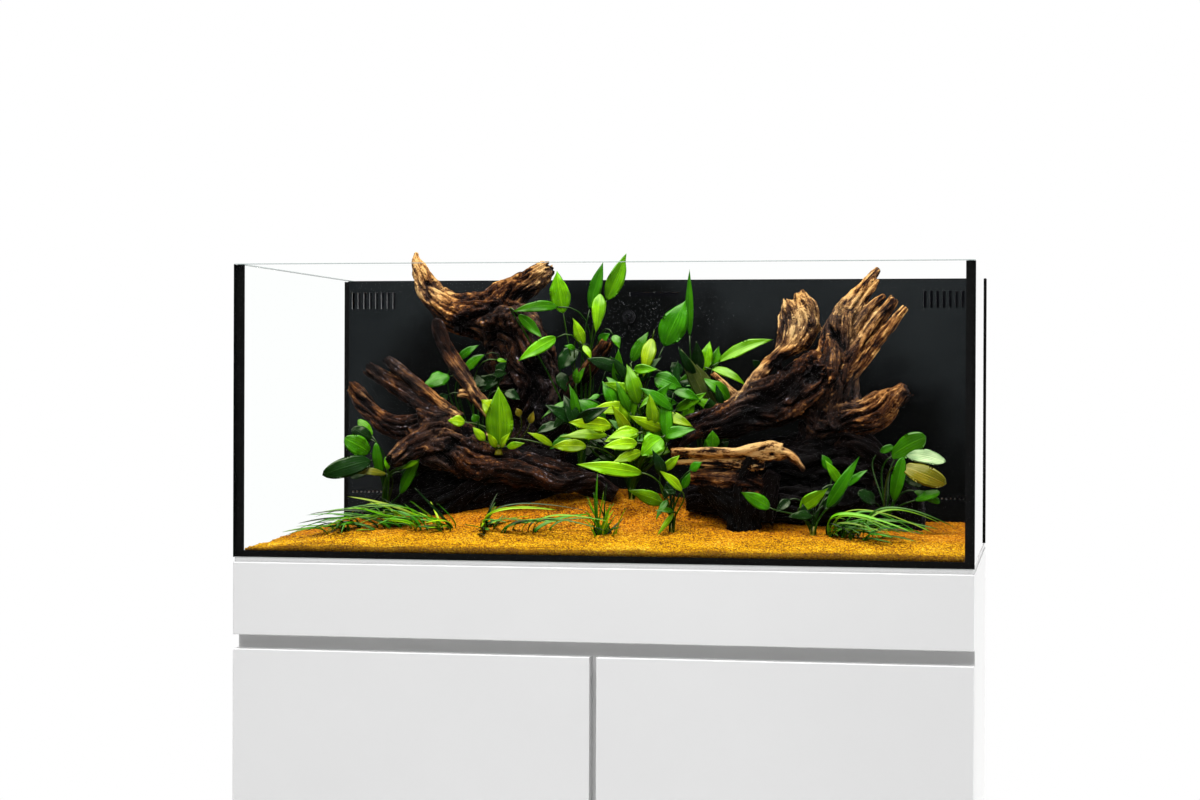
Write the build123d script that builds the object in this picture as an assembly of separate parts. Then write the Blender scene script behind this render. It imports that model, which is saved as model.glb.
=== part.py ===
from build123d import *
import math
import os

# All sizes are millimetres. X runs to the right, Y to the back, Z up from the floor.

# Tank glass
tank_w = 900.0  # over the front and rear panes
tank_d = 500.0  # front face to rear face
tank_h = 360.0
glass_t = 8.0
pane_overhang = 2.0  # front and rear panes run this far past the side panes
seam_t = 1.0  # silicone between two panes
corner_bead = 1.5  # leg of the bead inside each upright corner
seam_drop = 1.0  # corner silicone stops this far below the rim
edge_chamfer = 0.8
cut_over = 1.0  # cutters run this far past a face

# Filter chamber behind the black partition
chamber_d = 42.0  # clear depth, partition to rear pane
partition_t = 5.0
partition_drop = 3.5  # partition top below the rim
partition_bead = 5.0
comb_count = 8
comb_pitch = 8.45
comb_slot_w = 4.0
comb_slot_h = 23.0
comb_inset = 11.5  # side pane to the first slot's centre line
comb_drop = 30.0  # rim to the slots' middle
spill_slot_w = 68.0
spill_slot_h = 5.5
spill_drop = 22.0
strainer_count = 11
strainer_pitch = 5.8
strainer_r = 1.4
strainer_sides = 8
strainer_z = 54.0  # above the base pane
baffle_t = 4.0
baffle_x = 182.0
baffle_foot = 30.0  # water passes below
baffle_drop = 25.0
fleece_w = 104.0
fleece_h = 210.0
fleece_round = 0.9
soft_gap = 0.3  # soft pieces stay this far from hard ones

# Return pump, pipe and nozzle
outlet_x = -35.0
outlet_drop = 53.0  # rim to the outlet's centre
pump_w = 62.0
pump_d = 34.0
pump_h = 66.0
pump_round = 5.0
pump_stub_r = 6.5
pump_stub_h = 10.0
grille_count = 5
grille_w = 18.0
grille_h = 3.0
grille_depth = 2.0
grille_pitch = 7.3
grille_foot = 14.6  # pump foot to the lowest slot
pipe_r = 6.5
pipe_wall = 1.5
inlet_r = 4.0
knuckle_r = 5.0  # the nozzle turns on this upright knuckle
knuckle_h = 9.6
knuckle_fit = 0.05
nozzle_swing = 20.0  # degrees to each side
mouth_clear = 0.3
spout_r = 3.2
spout_bore = 2.2
spout_l = 20.0
barrel_r = 7.6
barrel_fit = 0.1
flange_r = 9.0
flange_t = 2.0
nut_r = 10.0
nut_t = 3.0

# Cabinet
cabinet_h = 850.0
mat_t = 6.0
mat_inset = 1.0
board_t = 18.0
top_t = 25.0
back_t = 8.0
door_t = 19.0
door_gap = 4.0  # door back to the carcass
door_split = 8.0  # between the two doors
door_round = 1.0
apron_h = 89.0
grip_h = 17.5  # finger groove between apron and doors
rail_h = 110.0
glide_h = 12.0
glide_r = 20.0
glide_sides = 12
glide_inset = 25.0
glide_end = 50.0
door_floor = 16.0  # floor to the doors' lower edge
cut_out_w = 140.0
cut_out_h = 70.0
cut_out_round = 12.0
cut_out_x = 300.0
cut_out_drop = 90.0  # top panel to the cut-outs' middle
bumper_r = 2.2
bumper_sides = 8
bumper_clear = 0.3

# Concealed door hinges
cup_edge = 4.0  # door edge to the cup bore
cup_r = 17.5
cup_depth = 13.0
cup_wall = 0.8
cup_fit = 0.05
cup_flange = 2.0
cup_flange_t = 0.8
pin_edge = 8.0  # door edge to the hinge line
pin_depth = 9.2  # door back to the hinge line
pin_r = 1.25
pin_fit = 0.05
eye_r = 2.6
arm_t = 2.0
arm_w = 8.0
arm_reach = 16.0  # hinge line to the outside of the arm's long leg
arm_back = 92.0  # hinge line to the arm's rear end
ear_t = 3.0
ear_gap = 0.5  # ear to the arm's eye
ear_r = 2.8
plate_t = 4.0
plate_l = 50.0
plate_h = 44.0
arm_cover_w = 14.0
arm_cover_t = 7.0
hinge_end = 100.0  # door end to the hinge's middle

# Sand, wood and plants
sand_edge = 7.0  # depth along the front glass
sand_back = 22.0
sand_ramp = 240.0  # front glass to the full depth
mound_h = 48.0
mound_x = -60.0
mound_y = 20.0
mound_half_x = 230.0
mound_half_y = 110.0
sand_cells_x = 12
sand_cells_y = 7
wood_sides = 7
wood_ridge = 0.14  # depth of the grooves along a limb, share of its radius
wood_twist = 0.7  # turn of the grooves from one station to the next
wood_reference = (0.3, 1.0, 0.15)  # limbs never run this way
leaf_t = 1.0
leaf_outline = [(0, 0.12), (0.16, 0.62), (0.42, 1.0), (0.7, 0.78), (0.9, 0.32)]  # length, half width
leaf_facing = (0.15, -1.0, 0.3)
stem_t = 2.4
stem_lap = 5.0  # stem's run under its leaf
crown_r = 6.0
crown_h = 16.0
crown_root = 8.0
crown_sides = 6
grass_w = 5.0

# Places that follow from the sizes above
front_y = -tank_d / 2
back_y = tank_d / 2
tank_z = cabinet_h + mat_t
rim_z = tank_z + tank_h
bed_z = tank_z + glass_t
inner_x = tank_w / 2 - pane_overhang - glass_t
inner_front = front_y + glass_t
inner_back = back_y - glass_t
partition_back = inner_back - chamber_d
partition_front = partition_back - partition_t
carcass_front = front_y + door_t + door_gap
side_x = tank_w / 2 - board_t
top_under = cabinet_h - top_t
base_top = glide_h + board_t
back_in = back_y - back_t
apron_z = cabinet_h - apron_h
door_top = apron_z - grip_h
door_back = front_y + door_t
outlet_z = rim_z - outlet_drop
swivel_y = partition_front + partition_t / 2
pin_x = -tank_w / 2 + pin_edge
pin_y = door_back - pin_depth
cup_x = -tank_w / 2 + cup_edge + cup_r
hinge_heights = (door_floor + hinge_end, door_top - hinge_end)
sand_margin = corner_bead + soft_gap


def block(x0, x1, y0, y1, z0, z1):
    centre = Pos((x0 + x1) / 2, (y0 + y1) / 2, (z0 + z1) / 2)
    return centre * Box(x1 - x0, y1 - y0, z1 - z0)


def rod_y(x, z, radius, y0, y1):
    return Pos(x, (y0 + y1) / 2, z) * Rot(90, 0, 0) * Cylinder(radius, y1 - y0)


def rod_z(x, y, radius, z0, z1):
    return Pos(x, y, (z0 + z1) / 2) * Cylinder(radius, z1 - z0)


def other_side(shape):
    return mirror(shape, about=Plane.YZ)


def both_sides(shape):
    return [shape, other_side(shape)]


def group(solids):
    bodies = []
    for shape in solids:
        bodies.extend(shape.solids())
    return Compound(bodies)


def upright_prism(points, z0, z1):
    outline = Wire.make_polygon([(x, y, z0) for x, y in points])
    return extrude(Face(outline), z1 - z0, dir=(0, 0, 1))


def prism_y(x, z, radius, sides, y0, y1):
    start = Plane(origin=(x, y0, z), x_dir=(1, 0, 0), z_dir=(0, 1, 0))
    return extrude(start * RegularPolygon(radius, sides), y1 - y0)


def prism_z(x, y, radius, sides, z0, z1):
    return extrude(Plane(origin=(x, y, z0)) * RegularPolygon(radius, sides), z1 - z0)


def flat(*corners):
    return Face(Wire.make_polygon(list(corners)))


# Tank glass and silicone


def broad_pane(y0):
    pane = block(-tank_w / 2, tank_w / 2, y0, y0 + glass_t, tank_z, rim_z)
    return chamfer(pane.edges().group_by(Axis.Z)[-1], edge_chamfer)


def left_side_pane():
    y0 = inner_front + seam_t
    y1 = inner_back - seam_t
    pane = block(-inner_x - glass_t, -inner_x, y0, y1, tank_z, rim_z)
    return chamfer(pane.edges().group_by(Axis.Z)[-1], edge_chamfer)


def base_glass():
    half_x = inner_x - seam_t
    return block(-half_x, half_x, inner_front + seam_t, inner_back - seam_t, tank_z, bed_z)


def corner_silicone():
    top = rim_z - seam_drop
    corners = []
    for face, inward in ((inner_front, 1), (inner_back, -1)):
        near = min(face, face + inward * seam_t)
        strip = block(-tank_w / 2, -inner_x, near, near + seam_t, tank_z, top)
        reach = face + inward * corner_bead
        bead_points = [(-inner_x, face), (-inner_x + corner_bead, face), (-inner_x, reach)]
        bead = upright_prism(bead_points, bed_z, top)
        corners.extend(both_sides(strip + bead))
    return group(corners)


def base_silicone():
    half_x = inner_x - seam_t
    front_strip = block(-inner_x, inner_x, inner_front, inner_front + seam_t, tank_z, bed_z)
    rear_strip = block(-inner_x, inner_x, inner_back - seam_t, inner_back, tank_z, bed_z)
    side_strip = block(-inner_x, -half_x, inner_front + seam_t, inner_back - seam_t, tank_z, bed_z)
    return group([front_strip, rear_strip] + both_sides(side_strip))


# Filter chamber


def comb_places():
    first = inner_x - comb_inset
    return [first - comb_pitch * i for i in range(comb_count)]


def partition_panel():
    half_x = inner_x - seam_t
    top = rim_z - partition_drop
    panel = block(-half_x, half_x, partition_front, partition_back, bed_z, top)
    y0 = partition_front - cut_over
    y1 = partition_back + cut_over
    cuts = []
    comb_z = rim_z - comb_drop - comb_slot_h / 2
    for x in comb_places():
        slot = block(x - comb_slot_w / 2, x + comb_slot_w / 2, y0, y1, comb_z, comb_z + comb_slot_h)
        cuts.extend(both_sides(slot))
    spill_z = rim_z - spill_drop - spill_slot_h / 2
    cuts.append(block(-spill_slot_w / 2, spill_slot_w / 2, y0, y1, spill_z, spill_z + spill_slot_h))
    middle = inner_x - comb_inset - comb_pitch * (comb_count - 1) / 2
    first = middle - strainer_pitch * (strainer_count - 1) / 2
    for i in range(strainer_count):
        x = first + strainer_pitch * i
        cuts.extend(both_sides(prism_y(x, bed_z + strainer_z, strainer_r, strainer_sides, y0, y1)))
    cuts.append(rod_y(outlet_x, outlet_z, barrel_r + barrel_fit, y0, y1))
    return panel - cuts


def partition_silicone():
    top = rim_z - partition_drop
    strip = block(-inner_x, -inner_x + seam_t, partition_front, partition_back, bed_z, top)
    legs = [
        (-inner_x, partition_front),
        (-inner_x + partition_bead, partition_front),
        (-inner_x, partition_front - partition_bead),
    ]
    return group(both_sides(strip + upright_prism(legs, bed_z, top)))


def baffle():
    x0 = -baffle_x - baffle_t / 2
    return block(x0, x0 + baffle_t, partition_back, inner_back, bed_z + baffle_foot, rim_z - baffle_drop)


def fleece_pad():
    x0 = -inner_x + corner_bead + soft_gap
    pad = block(x0, x0 + fleece_w, partition_back + soft_gap, inner_back - soft_gap, bed_z, bed_z + fleece_h)
    return fillet(pad.edges().filter_by(Axis.Z), fleece_round)


def pump_middle():
    return (partition_back + inner_back) / 2


def return_pump():
    y = pump_middle()
    half = pump_w / 2
    body = block(outlet_x - half, outlet_x + half, y - pump_d / 2, y + pump_d / 2, bed_z, bed_z + pump_h)
    body = fillet(body.edges().filter_by(Axis.Z), pump_round)
    body = chamfer(body.edges().group_by(Axis.Z)[-1], pump_round / 2)
    stub = rod_z(outlet_x, y, pump_stub_r, bed_z + pump_h - pump_round, bed_z + pump_h + pump_stub_h)
    bore = rod_z(outlet_x, y, pipe_r - pipe_wall, bed_z + pump_h, bed_z + pump_h + pump_stub_h + cut_over)
    x0 = outlet_x - half - cut_over
    x1 = outlet_x - half + grille_depth
    grille = []
    for i in range(grille_count):
        z = bed_z + grille_foot + grille_pitch * i
        grille.append(block(x0, x1, y - grille_w / 2, y + grille_w / 2, z, z + grille_h))
    return body + stub - bore - grille


def return_pipe():
    y = pump_middle()
    start = (outlet_x, y, bed_z + pump_h + pump_stub_h)
    corner = (outlet_x, y, outlet_z)
    end = (outlet_x, partition_back + nut_t, outlet_z)
    path = Polyline(start, corner, end)
    ring = Plane(origin=start, z_dir=(0, 0, 1)) * (Circle(pipe_r) - Circle(pipe_r - pipe_wall))
    return sweep(ring, path=path, transition=Transition.RIGHT)


def spout_mouth():
    y0 = partition_front - flange_t - cut_over
    near = spout_r + mouth_clear
    swing = math.radians(nozzle_swing)
    far = spout_r / math.cos(swing) + (swivel_y - y0) * math.tan(swing) + mouth_clear
    front = [(outlet_x - far, y0), (outlet_x + far, y0)]
    inside = [(outlet_x + near, swivel_y), (outlet_x - near, swivel_y)]
    return upright_prism(front + inside, outlet_z - near, outlet_z + near)


def outlet_socket():
    flange = rod_y(outlet_x, outlet_z, flange_r, partition_front - flange_t, partition_front)
    barrel = rod_y(outlet_x, outlet_z, barrel_r, partition_front, partition_back)
    nut = rod_y(outlet_x, outlet_z, nut_r, partition_back, partition_back + nut_t)
    half = knuckle_h / 2 + knuckle_fit
    seat = rod_z(outlet_x, swivel_y, knuckle_r + knuckle_fit, outlet_z - half, outlet_z + half)
    inlet = rod_y(outlet_x, outlet_z, inlet_r, swivel_y, partition_back + nut_t + cut_over)
    return flange + barrel + nut - seat - spout_mouth() - inlet


def return_nozzle():
    half = knuckle_h / 2
    knuckle = rod_z(outlet_x, swivel_y, knuckle_r, outlet_z - half, outlet_z + half)
    tip_y = swivel_y - spout_l
    spout = rod_y(outlet_x, outlet_z, spout_r, tip_y, swivel_y)
    bore = rod_y(outlet_x, outlet_z, spout_bore, tip_y - cut_over, swivel_y + knuckle_r + cut_over)
    return knuckle + spout - bore


# Cabinet


def levelling_mat():
    half_x = tank_w / 2 - mat_inset
    return block(-half_x, half_x, front_y + mat_inset, back_y - mat_inset, cabinet_h, tank_z)


def top_panel():
    return block(-tank_w / 2, tank_w / 2, carcass_front, back_y, top_under, cabinet_h)


def left_side_board():
    return block(-tank_w / 2, -side_x, carcass_front, back_y, glide_h, top_under)


def base_panel():
    return block(-side_x, side_x, carcass_front, back_in, glide_h, base_top)


def centre_divider():
    return block(-board_t / 2, board_t / 2, carcass_front, back_in, base_top, top_under)


def back_panel():
    panel = block(-side_x, side_x, back_in, back_y, glide_h, top_under)
    face = Plane(origin=(-cut_out_x, back_in, top_under - cut_out_drop), x_dir=(1, 0, 0), z_dir=(0, 1, 0))
    opening = extrude(face * RectangleRounded(cut_out_w, cut_out_h, cut_out_round), back_t, both=True)
    return panel - both_sides(opening)


def grip_rail():
    return block(-side_x, -board_t / 2, carcass_front, carcass_front + board_t, top_under - rail_h, top_under)


def apron():
    board = block(-tank_w / 2, tank_w / 2, front_y, carcass_front, apron_z, cabinet_h)
    return fillet(board.faces().sort_by(Axis.Y)[0].edges(), door_round)


def floor_glides():
    glides = []
    for x in (-tank_w / 2 + glide_inset, 0, tank_w / 2 - glide_inset):
        for y in (carcass_front + glide_end, back_in - glide_end):
            glides.append(prism_z(x, y, glide_r, glide_sides, 0, glide_h))
    return group(glides)


def door_bumpers():
    pads = []
    x = (door_split / 2 + board_t / 2) / 2
    for z in hinge_heights:
        pad = prism_y(-x, z, bumper_r, bumper_sides, door_back + bumper_clear, carcass_front)
        pads.extend(both_sides(pad))
    return group(pads)


# Doors and hinges, modelled on the left and mirrored


def left_door_board():
    board = block(-tank_w / 2, -door_split / 2, front_y, door_back, door_floor, door_top)
    board = fillet(board.faces().sort_by(Axis.Y)[0].edges(), door_round)
    for z in hinge_heights:
        board = board - rod_y(cup_x, z, cup_r, door_back - cup_depth, door_back + cut_over)
    return board


def hinge_cup(z):
    radius = cup_r - cup_fit
    floor_y = door_back - cup_depth
    shell = rod_y(cup_x, z, radius, floor_y, door_back)
    shell = shell + rod_y(cup_x, z, cup_r + cup_flange, door_back, door_back + cup_flange_t)
    hollow = rod_y(cup_x, z, radius - cup_wall, floor_y + cup_wall, door_back + cup_flange_t + cut_over)
    ears = []
    for side in (-1, 1):
        near = z + side * (arm_w / 2 + ear_gap)
        far = near + side * ear_t
        low, high = min(near, far), max(near, far)
        ear = block(pin_x - ear_r, pin_x + ear_r, floor_y + cup_wall, pin_y + ear_r, low, high)
        ears.append(ear & rod_y(cup_x, z, radius - cup_wall, floor_y, door_back))
    pin_bore = rod_z(pin_x, pin_y, pin_r + pin_fit, z - cup_r, z + cup_r)
    return shell - hollow + (Part() + ears - pin_bore)


def hinge_pin(z):
    reach = arm_w / 2 + ear_gap + ear_t
    return rod_z(pin_x, pin_y, pin_r, z - reach, z + reach)


def plate_y():
    return pin_y + arm_back - plate_l / 2


def hinge_arm(z):
    z0 = z - arm_w / 2
    z1 = z + arm_w / 2
    outer_x = pin_x + arm_reach
    front_leg = block(pin_x, outer_x, pin_y - arm_t / 2, pin_y + arm_t / 2, z0, z1)
    long_leg = block(-side_x + plate_t, outer_x, pin_y - arm_t / 2, pin_y + arm_back, z0, z1)
    cover_x = -side_x + plate_t
    cover_y = plate_y() - plate_l / 2
    half = arm_cover_w / 2
    cover = block(cover_x, cover_x + arm_cover_t, cover_y, pin_y + arm_back, z - half, z + half)
    cover = chamfer(cover.edges().group_by(Axis.X)[-1], arm_t / 2)
    eye = rod_z(pin_x, pin_y, eye_r, z0, z1)
    bore = rod_z(pin_x, pin_y, pin_r + pin_fit, z0 - cut_over, z1 + cut_over)
    return front_leg + long_leg + cover + eye - bore


def hinge_plate(z):
    y = plate_y()
    half = plate_l / 2
    return block(-side_x, -side_x + plate_t, y - half, y + half, z - plate_h / 2, z + plate_h / 2)


def left_hinges(make):
    return [make(z) for z in hinge_heights]


# Sand bed


def sand_height(x, y):
    t = min(1.0, max(0.0, (y - inner_front) / sand_ramp))
    floor = sand_edge + (sand_back - sand_edge) * t * t * (3 - 2 * t)
    spread = ((x - mound_x) / mound_half_x) ** 2 + ((y - mound_y) / mound_half_y) ** 2
    return floor + mound_h * t * math.exp(-spread)


def spaced(low, high, cells):
    return [low + (high - low) * i / cells for i in range(cells + 1)]


def sand_bed():
    xs = spaced(-inner_x + sand_margin, inner_x - sand_margin, sand_cells_x)
    ys = spaced(inner_front + sand_margin, partition_front - partition_bead - soft_gap, sand_cells_y)
    top = [[Vector(x, y, bed_z + sand_height(x, y)) for y in ys] for x in xs]

    def foot(corner):
        return Vector(corner.X, corner.Y, bed_z)

    def skirt(edge):
        return flat(*edge, foot(edge[-1]), foot(edge[0]))

    faces = []
    for i in range(sand_cells_x):
        for j in range(sand_cells_y):
            a, b, c, d = top[i][j], top[i + 1][j], top[i + 1][j + 1], top[i][j + 1]
            faces.append(flat(a, b, c))
            faces.append(flat(a, c, d))
    edges = [top[0], top[-1], [row[0] for row in top], [row[-1] for row in top]]
    faces.extend(skirt(edge) for edge in edges)
    faces.append(flat(foot(top[0][0]), foot(top[-1][0]), foot(top[-1][-1]), foot(top[0][-1])))
    return Solid(Shell(faces))


# Driftwood: each limb is a run of (x, y, height above the base glass, radius)


def limb_ring(centre, along, radius, turn):
    across = along.cross(Vector(*wood_reference)).normalized()
    up = across.cross(along).normalized()
    corners = []
    for i in range(wood_sides):
        angle = 2 * math.pi * i / wood_sides
        ridge = radius * (1 + wood_ridge * math.cos(3 * angle + turn))
        corners.append(centre + across * (ridge * math.cos(angle)) + up * (ridge * math.sin(angle)))
    return corners


def limb(*stations):
    centres = [Vector(x, y, bed_z + z) for x, y, z, radius in stations]
    rings = []
    for i, station in enumerate(stations):
        ahead = centres[min(i + 1, len(centres) - 1)]
        behind = centres[max(i - 1, 0)]
        rings.append(limb_ring(centres[i], (ahead - behind).normalized(), station[3], wood_twist * i))
    faces = [flat(*rings[0]), flat(*rings[-1])]
    for near, far in zip(rings, rings[1:]):
        for i in range(wood_sides):
            j = (i + 1) % wood_sides
            faces.append(flat(near[i], near[j], far[j]))
            faces.append(flat(near[i], far[j], far[i]))
    return Solid(Shell(faces))


def left_upper_root():
    return [
        limb((-130, 80, 15, 32), (-135, 80, 118, 36), (-143, 82, 171, 38), (-152, 84, 225, 40),
             (-175, 87, 275, 41), (-207, 90, 295, 36), (-240, 92, 298, 28)),
        limb((-225, 91, 296, 31), (-256, 94, 302, 24), (-278, 98, 315, 18), (-296, 102, 336, 14),
             (-308, 105, 358, 10), (-315, 110, 384, 3)),
        limb((-200, 89, 305, 27), (-170, 86, 329, 18), (-150, 82, 340, 15), (-132, 78, 354, 12),
             (-121, 75, 361, 8)),
        limb((-118, 74, 140, 15), (-86, 48, 198, 12), (-64, 34, 222, 10), (-47, 26, 243, 10),
             (-32, 20, 262, 9)),
    ]


def left_forked_log():
    return [
        limb((-15, -28, 62, 12), (-39, -30, 77, 14), (-84, -36, 85, 18), (-124, -36, 92, 21),
             (-163, -36, 101, 23), (-204, -34, 113, 28), (-244, -34, 130, 29), (-275, -30, 150, 20)),
        limb((-255, -30, 145, 21), (-305, -20, 150, 15), (-338, -12, 166, 12), (-357, -6, 184, 11),
             (-373, 0, 203, 8)),
        limb((-236, -26, 158, 17), (-269, -22, 179, 12), (-310, -16, 203, 10), (-348, -10, 225, 8)),
        limb((-226, -24, 156, 15), (-240, -23, 170, 10), (-282, -18, 205, 9), (-323, -14, 238, 7)),
        limb((-236, -34, 136, 22), (-256, -40, 133, 19), (-278, -58, 120, 16), (-299, -82, 106, 8)),
        limb((-167, -30, 118, 12), (-180, -16, 163, 11), (-200, -8, 187, 10), (-227, -3, 224, 10),
             (-258, 5, 289, 7)),
        limb((-222, -20, 120, 20), (-240, 15, 70, 16), (-250, 40, 8, 14)),
        limb((-345, -32, 26, 15), (-300, -6, 46, 24), (-255, -16, 52, 26), (-215, -20, 58, 26),
             (-170, -20, 64, 26), (-125, -15, 75, 23), (-95, -8, 84, 19)),
        limb((-330, 12, 78, 20), (-263, 6, 92, 27), (-170, 10, 88, 30), (-95, 12, 90, 25)),
    ]


def right_root():
    return [
        limb((62, -25, 140, 10), (82, -22, 150, 14), (114, -16, 155, 17), (148, -8, 166, 22),
             (183, 0, 181, 26), (220, 8, 199, 32), (251, 16, 223, 33)),
        limb((138, -4, 174, 14), (150, 2, 193, 10), (166, 12, 217, 9), (191, 25, 242, 10),
             (221, 35, 263, 12), (236, 42, 284, 10)),
        limb((198, 34, 246, 12), (204, 40, 277, 14), (202, 46, 296, 13), (200, 50, 315, 7)),
        limb((215, 36, 255, 16), (224, 45, 298, 18), (216, 52, 325, 8)),
        limb((264, 18, 148, 33), (264, 20, 200, 28), (265, 25, 245, 22), (267, 30, 277, 19),
             (275, 36, 303, 13)),
        limb((270, 32, 280, 15), (276, 36, 303, 12), (296, 44, 329, 9), (317, 50, 356, 4)),
        limb((278, 28, 266, 10), (305, 34, 303, 7), (325, 40, 321, 4)),
        limb((270, 24, 230, 16), (289, 24, 251, 11), (315, 32, 287, 9), (340, 38, 317, 6)),
        limb((262, 20, 205, 16), (293, 20, 233, 9), (323, 28, 270, 7), (352, 35, 305, 4)),
        limb((235, 12, 160, 25), (278, 4, 161, 21), (308, 0, 167, 19), (336, -3, 185, 16),
             (356, -5, 201, 10)),
        limb((262, 20, 160, 33), (250, 28, 100, 32), (246, 32, 8, 29)),
        limb((255, 16, 140, 21), (284, 10, 136, 19), (323, 2, 113, 16), (349, -2, 86, 14),
             (364, -6, 54, 13), (368, -8, 15, 12)),
        limb((84, -36, 64, 18), (130, -40, 60, 22), (180, -34, 56, 24), (230, -30, 54, 24),
             (290, -12, 50, 24), (340, 8, 44, 21), (368, 12, 28, 14)),
        limb((97, 2, 84, 22), (172, 12, 98, 30), (247, 16, 104, 34), (312, 14, 88, 27)),
    ]


def front_log():
    return [
        limb((69, -92, 121, 5.5), (118, -92, 122, 6), (150, -90, 121, 6.5), (170, -88, 123, 9),
             (192, -86, 123, 10), (208, -86, 122, 8)),
        limb((200, -86, 122, 8), (215, -86, 119, 6), (226, -87, 112, 4.5), (235, -88, 100, 3)),
        limb((70, -86, 110, 4.5), (124, -86, 109, 5), (160, -84, 106, 6), (184, -82, 105, 7)),
        limb((92, -86, 92, 8), (117, -82, 90, 11), (154, -76, 89, 15), (178, -70, 76, 14)),
        limb((174, -85, 121, 7), (168, -80, 106, 11), (160, -74, 88, 16), (158, -68, 62, 24),
             (157, -62, 6, 29)),
    ]


def driftwood(limbs, placed):
    return Part() + limbs - placed


# Plants: each leaf is its blade's foot, its tip and its width


def plant_point(place):
    x, y, z = place
    return Vector(x, y, bed_z + z)


def blade(foot, tip, width):
    along = (tip - foot).normalized()
    length = (tip - foot).length
    side = along.cross(Vector(*leaf_facing)).normalized()
    face = Plane(origin=foot, x_dir=along, z_dir=along.cross(side))
    half = width / 2
    upper = [(length * run, half * share) for run, share in leaf_outline]
    lower = [(run, -share) for run, share in reversed(upper)]
    outline = face * Polygon(*upper, (length, 0), *lower, align=None)
    return extrude(outline, leaf_t / 2, both=True)


def stem(root, foot):
    along = (foot - root).normalized()
    end = foot + along * stem_lap
    run = Plane(origin=root, z_dir=along)
    return extrude(run * Rectangle(stem_t, stem_t), (end - root).length)


def crown(root):
    return prism_z(root.X, root.Y, crown_r, crown_sides, root.Z - crown_root, root.Z + crown_h)


def rosette(root, leaves):
    pieces = [crown(root)]
    for foot, tip, width in leaves:
        foot_point = plant_point(foot)
        pieces.append(stem(root, foot_point))
        pieces.append(blade(foot_point, plant_point(tip), width))
    return Part() + pieces


def sand_plant(x, y, leaves):
    return rosette(plant_point((x, y, sand_height(x, y))), leaves)


def grass_tuft(x, y, tips):
    root = plant_point((x, y, sand_height(x, y)))
    blades = [blade(root, plant_point(tip), grass_w) for tip in tips]
    return Part() + [crown(root)] + blades


upper_sword_leaves = [
    ((-57, 22, 304), (-40, 25, 366), 18),
    ((-37, 35, 316), (-12, 40, 378), 23),
    ((-43, 18, 325), (-46, 5, 272), 19),
    ((-93, 25, 299), (-102, 22, 355), 28),
    ((-98, 20, 307), (-157, 5, 300), 15),
    ((-99, 12, 267), (-147, -8, 235), 18),
    ((-63, 15, 257), (-77, 10, 292), 15),
    ((-63, 8, 256), (-50, 0, 237), 9),
]
centre_sword_leaves = [
    ((42, 18, 256), (69, 26, 316), 36),
    ((1, 10, 235), (22, 14, 275), 17),
    ((29, 4, 266), (20, -14, 214), 19),
    ((4, -8, 224), (10, -20, 184), 18),
    ((3, -28, 155), (-5, -30, 184), 16),
    ((50, -20, 127), (37, -24, 183), 27),
    ((34, -5, 215), (72, -15, 201), 25),
    ((-27, -22, 158), (-70, -30, 188), 23),
    ((-15, -38, 152), (-70, -55, 157), 20),
    ((-20, -45, 140), (-80, -62, 138), 15),
    ((21, -45, 145), (-21, -66, 132), 22),
    ((26, -58, 120), (-10, -78, 106), 15),
    ((51, -50, 138), (26, -62, 115), 30),
]
right_sword_leaves = [
    ((71, 50, 268), (70, 54, 358), 11),
    ((98, 22, 179), (64, 14, 253), 20),
    ((110, 28, 178), (84, 20, 233), 17),
    ((92, 34, 224), (99, 38, 263), 18),
    ((69, 10, 151), (85, 6, 190), 14),
    ((111, 38, 235), (183, 34, 265), 19),
    ((103, 30, 226), (151, 12, 204), 13),
]
left_broad_leaves = [
    ((-336, -45, 116), (-365, -62, 134), 26),
    ((-329, -58, 106), (-387, -86, 87), 26),
    ((-337, -28, 137), (-358, -22, 158), 14),
    ((-310, -52, 88), (-362, -68, 94), 11),
    ((-293, -60, 97), (-265, -64, 105), 9),
]
back_sword_leaves = [
    ((-250, 42, 216), (-284, 30, 201), 24),
    ((-241, 50, 238), (-212, 50, 258), 12),
    ((-188, 52, 216), (-174, 50, 240), 14),
    ((-226, 56, 200), (-179, 58, 214), 22),
]
log_sword_leaves = [
    ((-161, -48, 124), (-162, -52, 203), 36),
    ((-164, -54, 124), (-174, -64, 143), 10),
    ((-158, -54, 124), (-143, -64, 144), 10),
    ((-150, -54, 125), (-124, -66, 130), 10),
]
front_sword_leaves = [
    ((36, -108, 95), (-45, -130, 106), 18),
    ((64, -110, 58), (21, -130, 75), 18),
    ((86, -112, 73), (59, -124, 99), 12),
    ((86, -106, 76), (96, -110, 97), 10),
    ((76, -112, 47), (54, -124, 49), 8),
]
right_broad_leaves = [
    ((339, -35, 116), (384, -50, 142), 28),
    ((359, -46, 119), (409, -66, 111), 20),
    ((354, -55, 105), (410, -75, 84), 25),
    ((369, -46, 74), (402, -62, 60), 11),
]
right_low_leaves = [
    ((230, -92, 53), (267, -104, 79), 18),
    ((196, -106, 53), (160, -116, 73), 18),
    ((247, -95, 44), (218, -112, 43), 13),
    ((281, -74, 82), (261, -82, 113), 12),
]
left_grass_tips = [(-343, -100, 67), (-353, -85, 84), (-346, -120, 32), (-286, -110, 40), (-396, -100, 34)]
mid_grass_tips = [(-159, -155, 20), (-23, -138, 36), (-64, -135, 44), (-149, -100, 63)]
front_grass_tips = [(-32, -136, 78), (-15, -134, 83), (-1, -138, 83), (14, -136, 60)]
right_grass_tips = [(402, -130, 26), (351, -138, 26), (332, -125, 32), (290, -120, 41), (373, -100, 38)]
log_sword_root = (-163, -46, 121)


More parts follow.
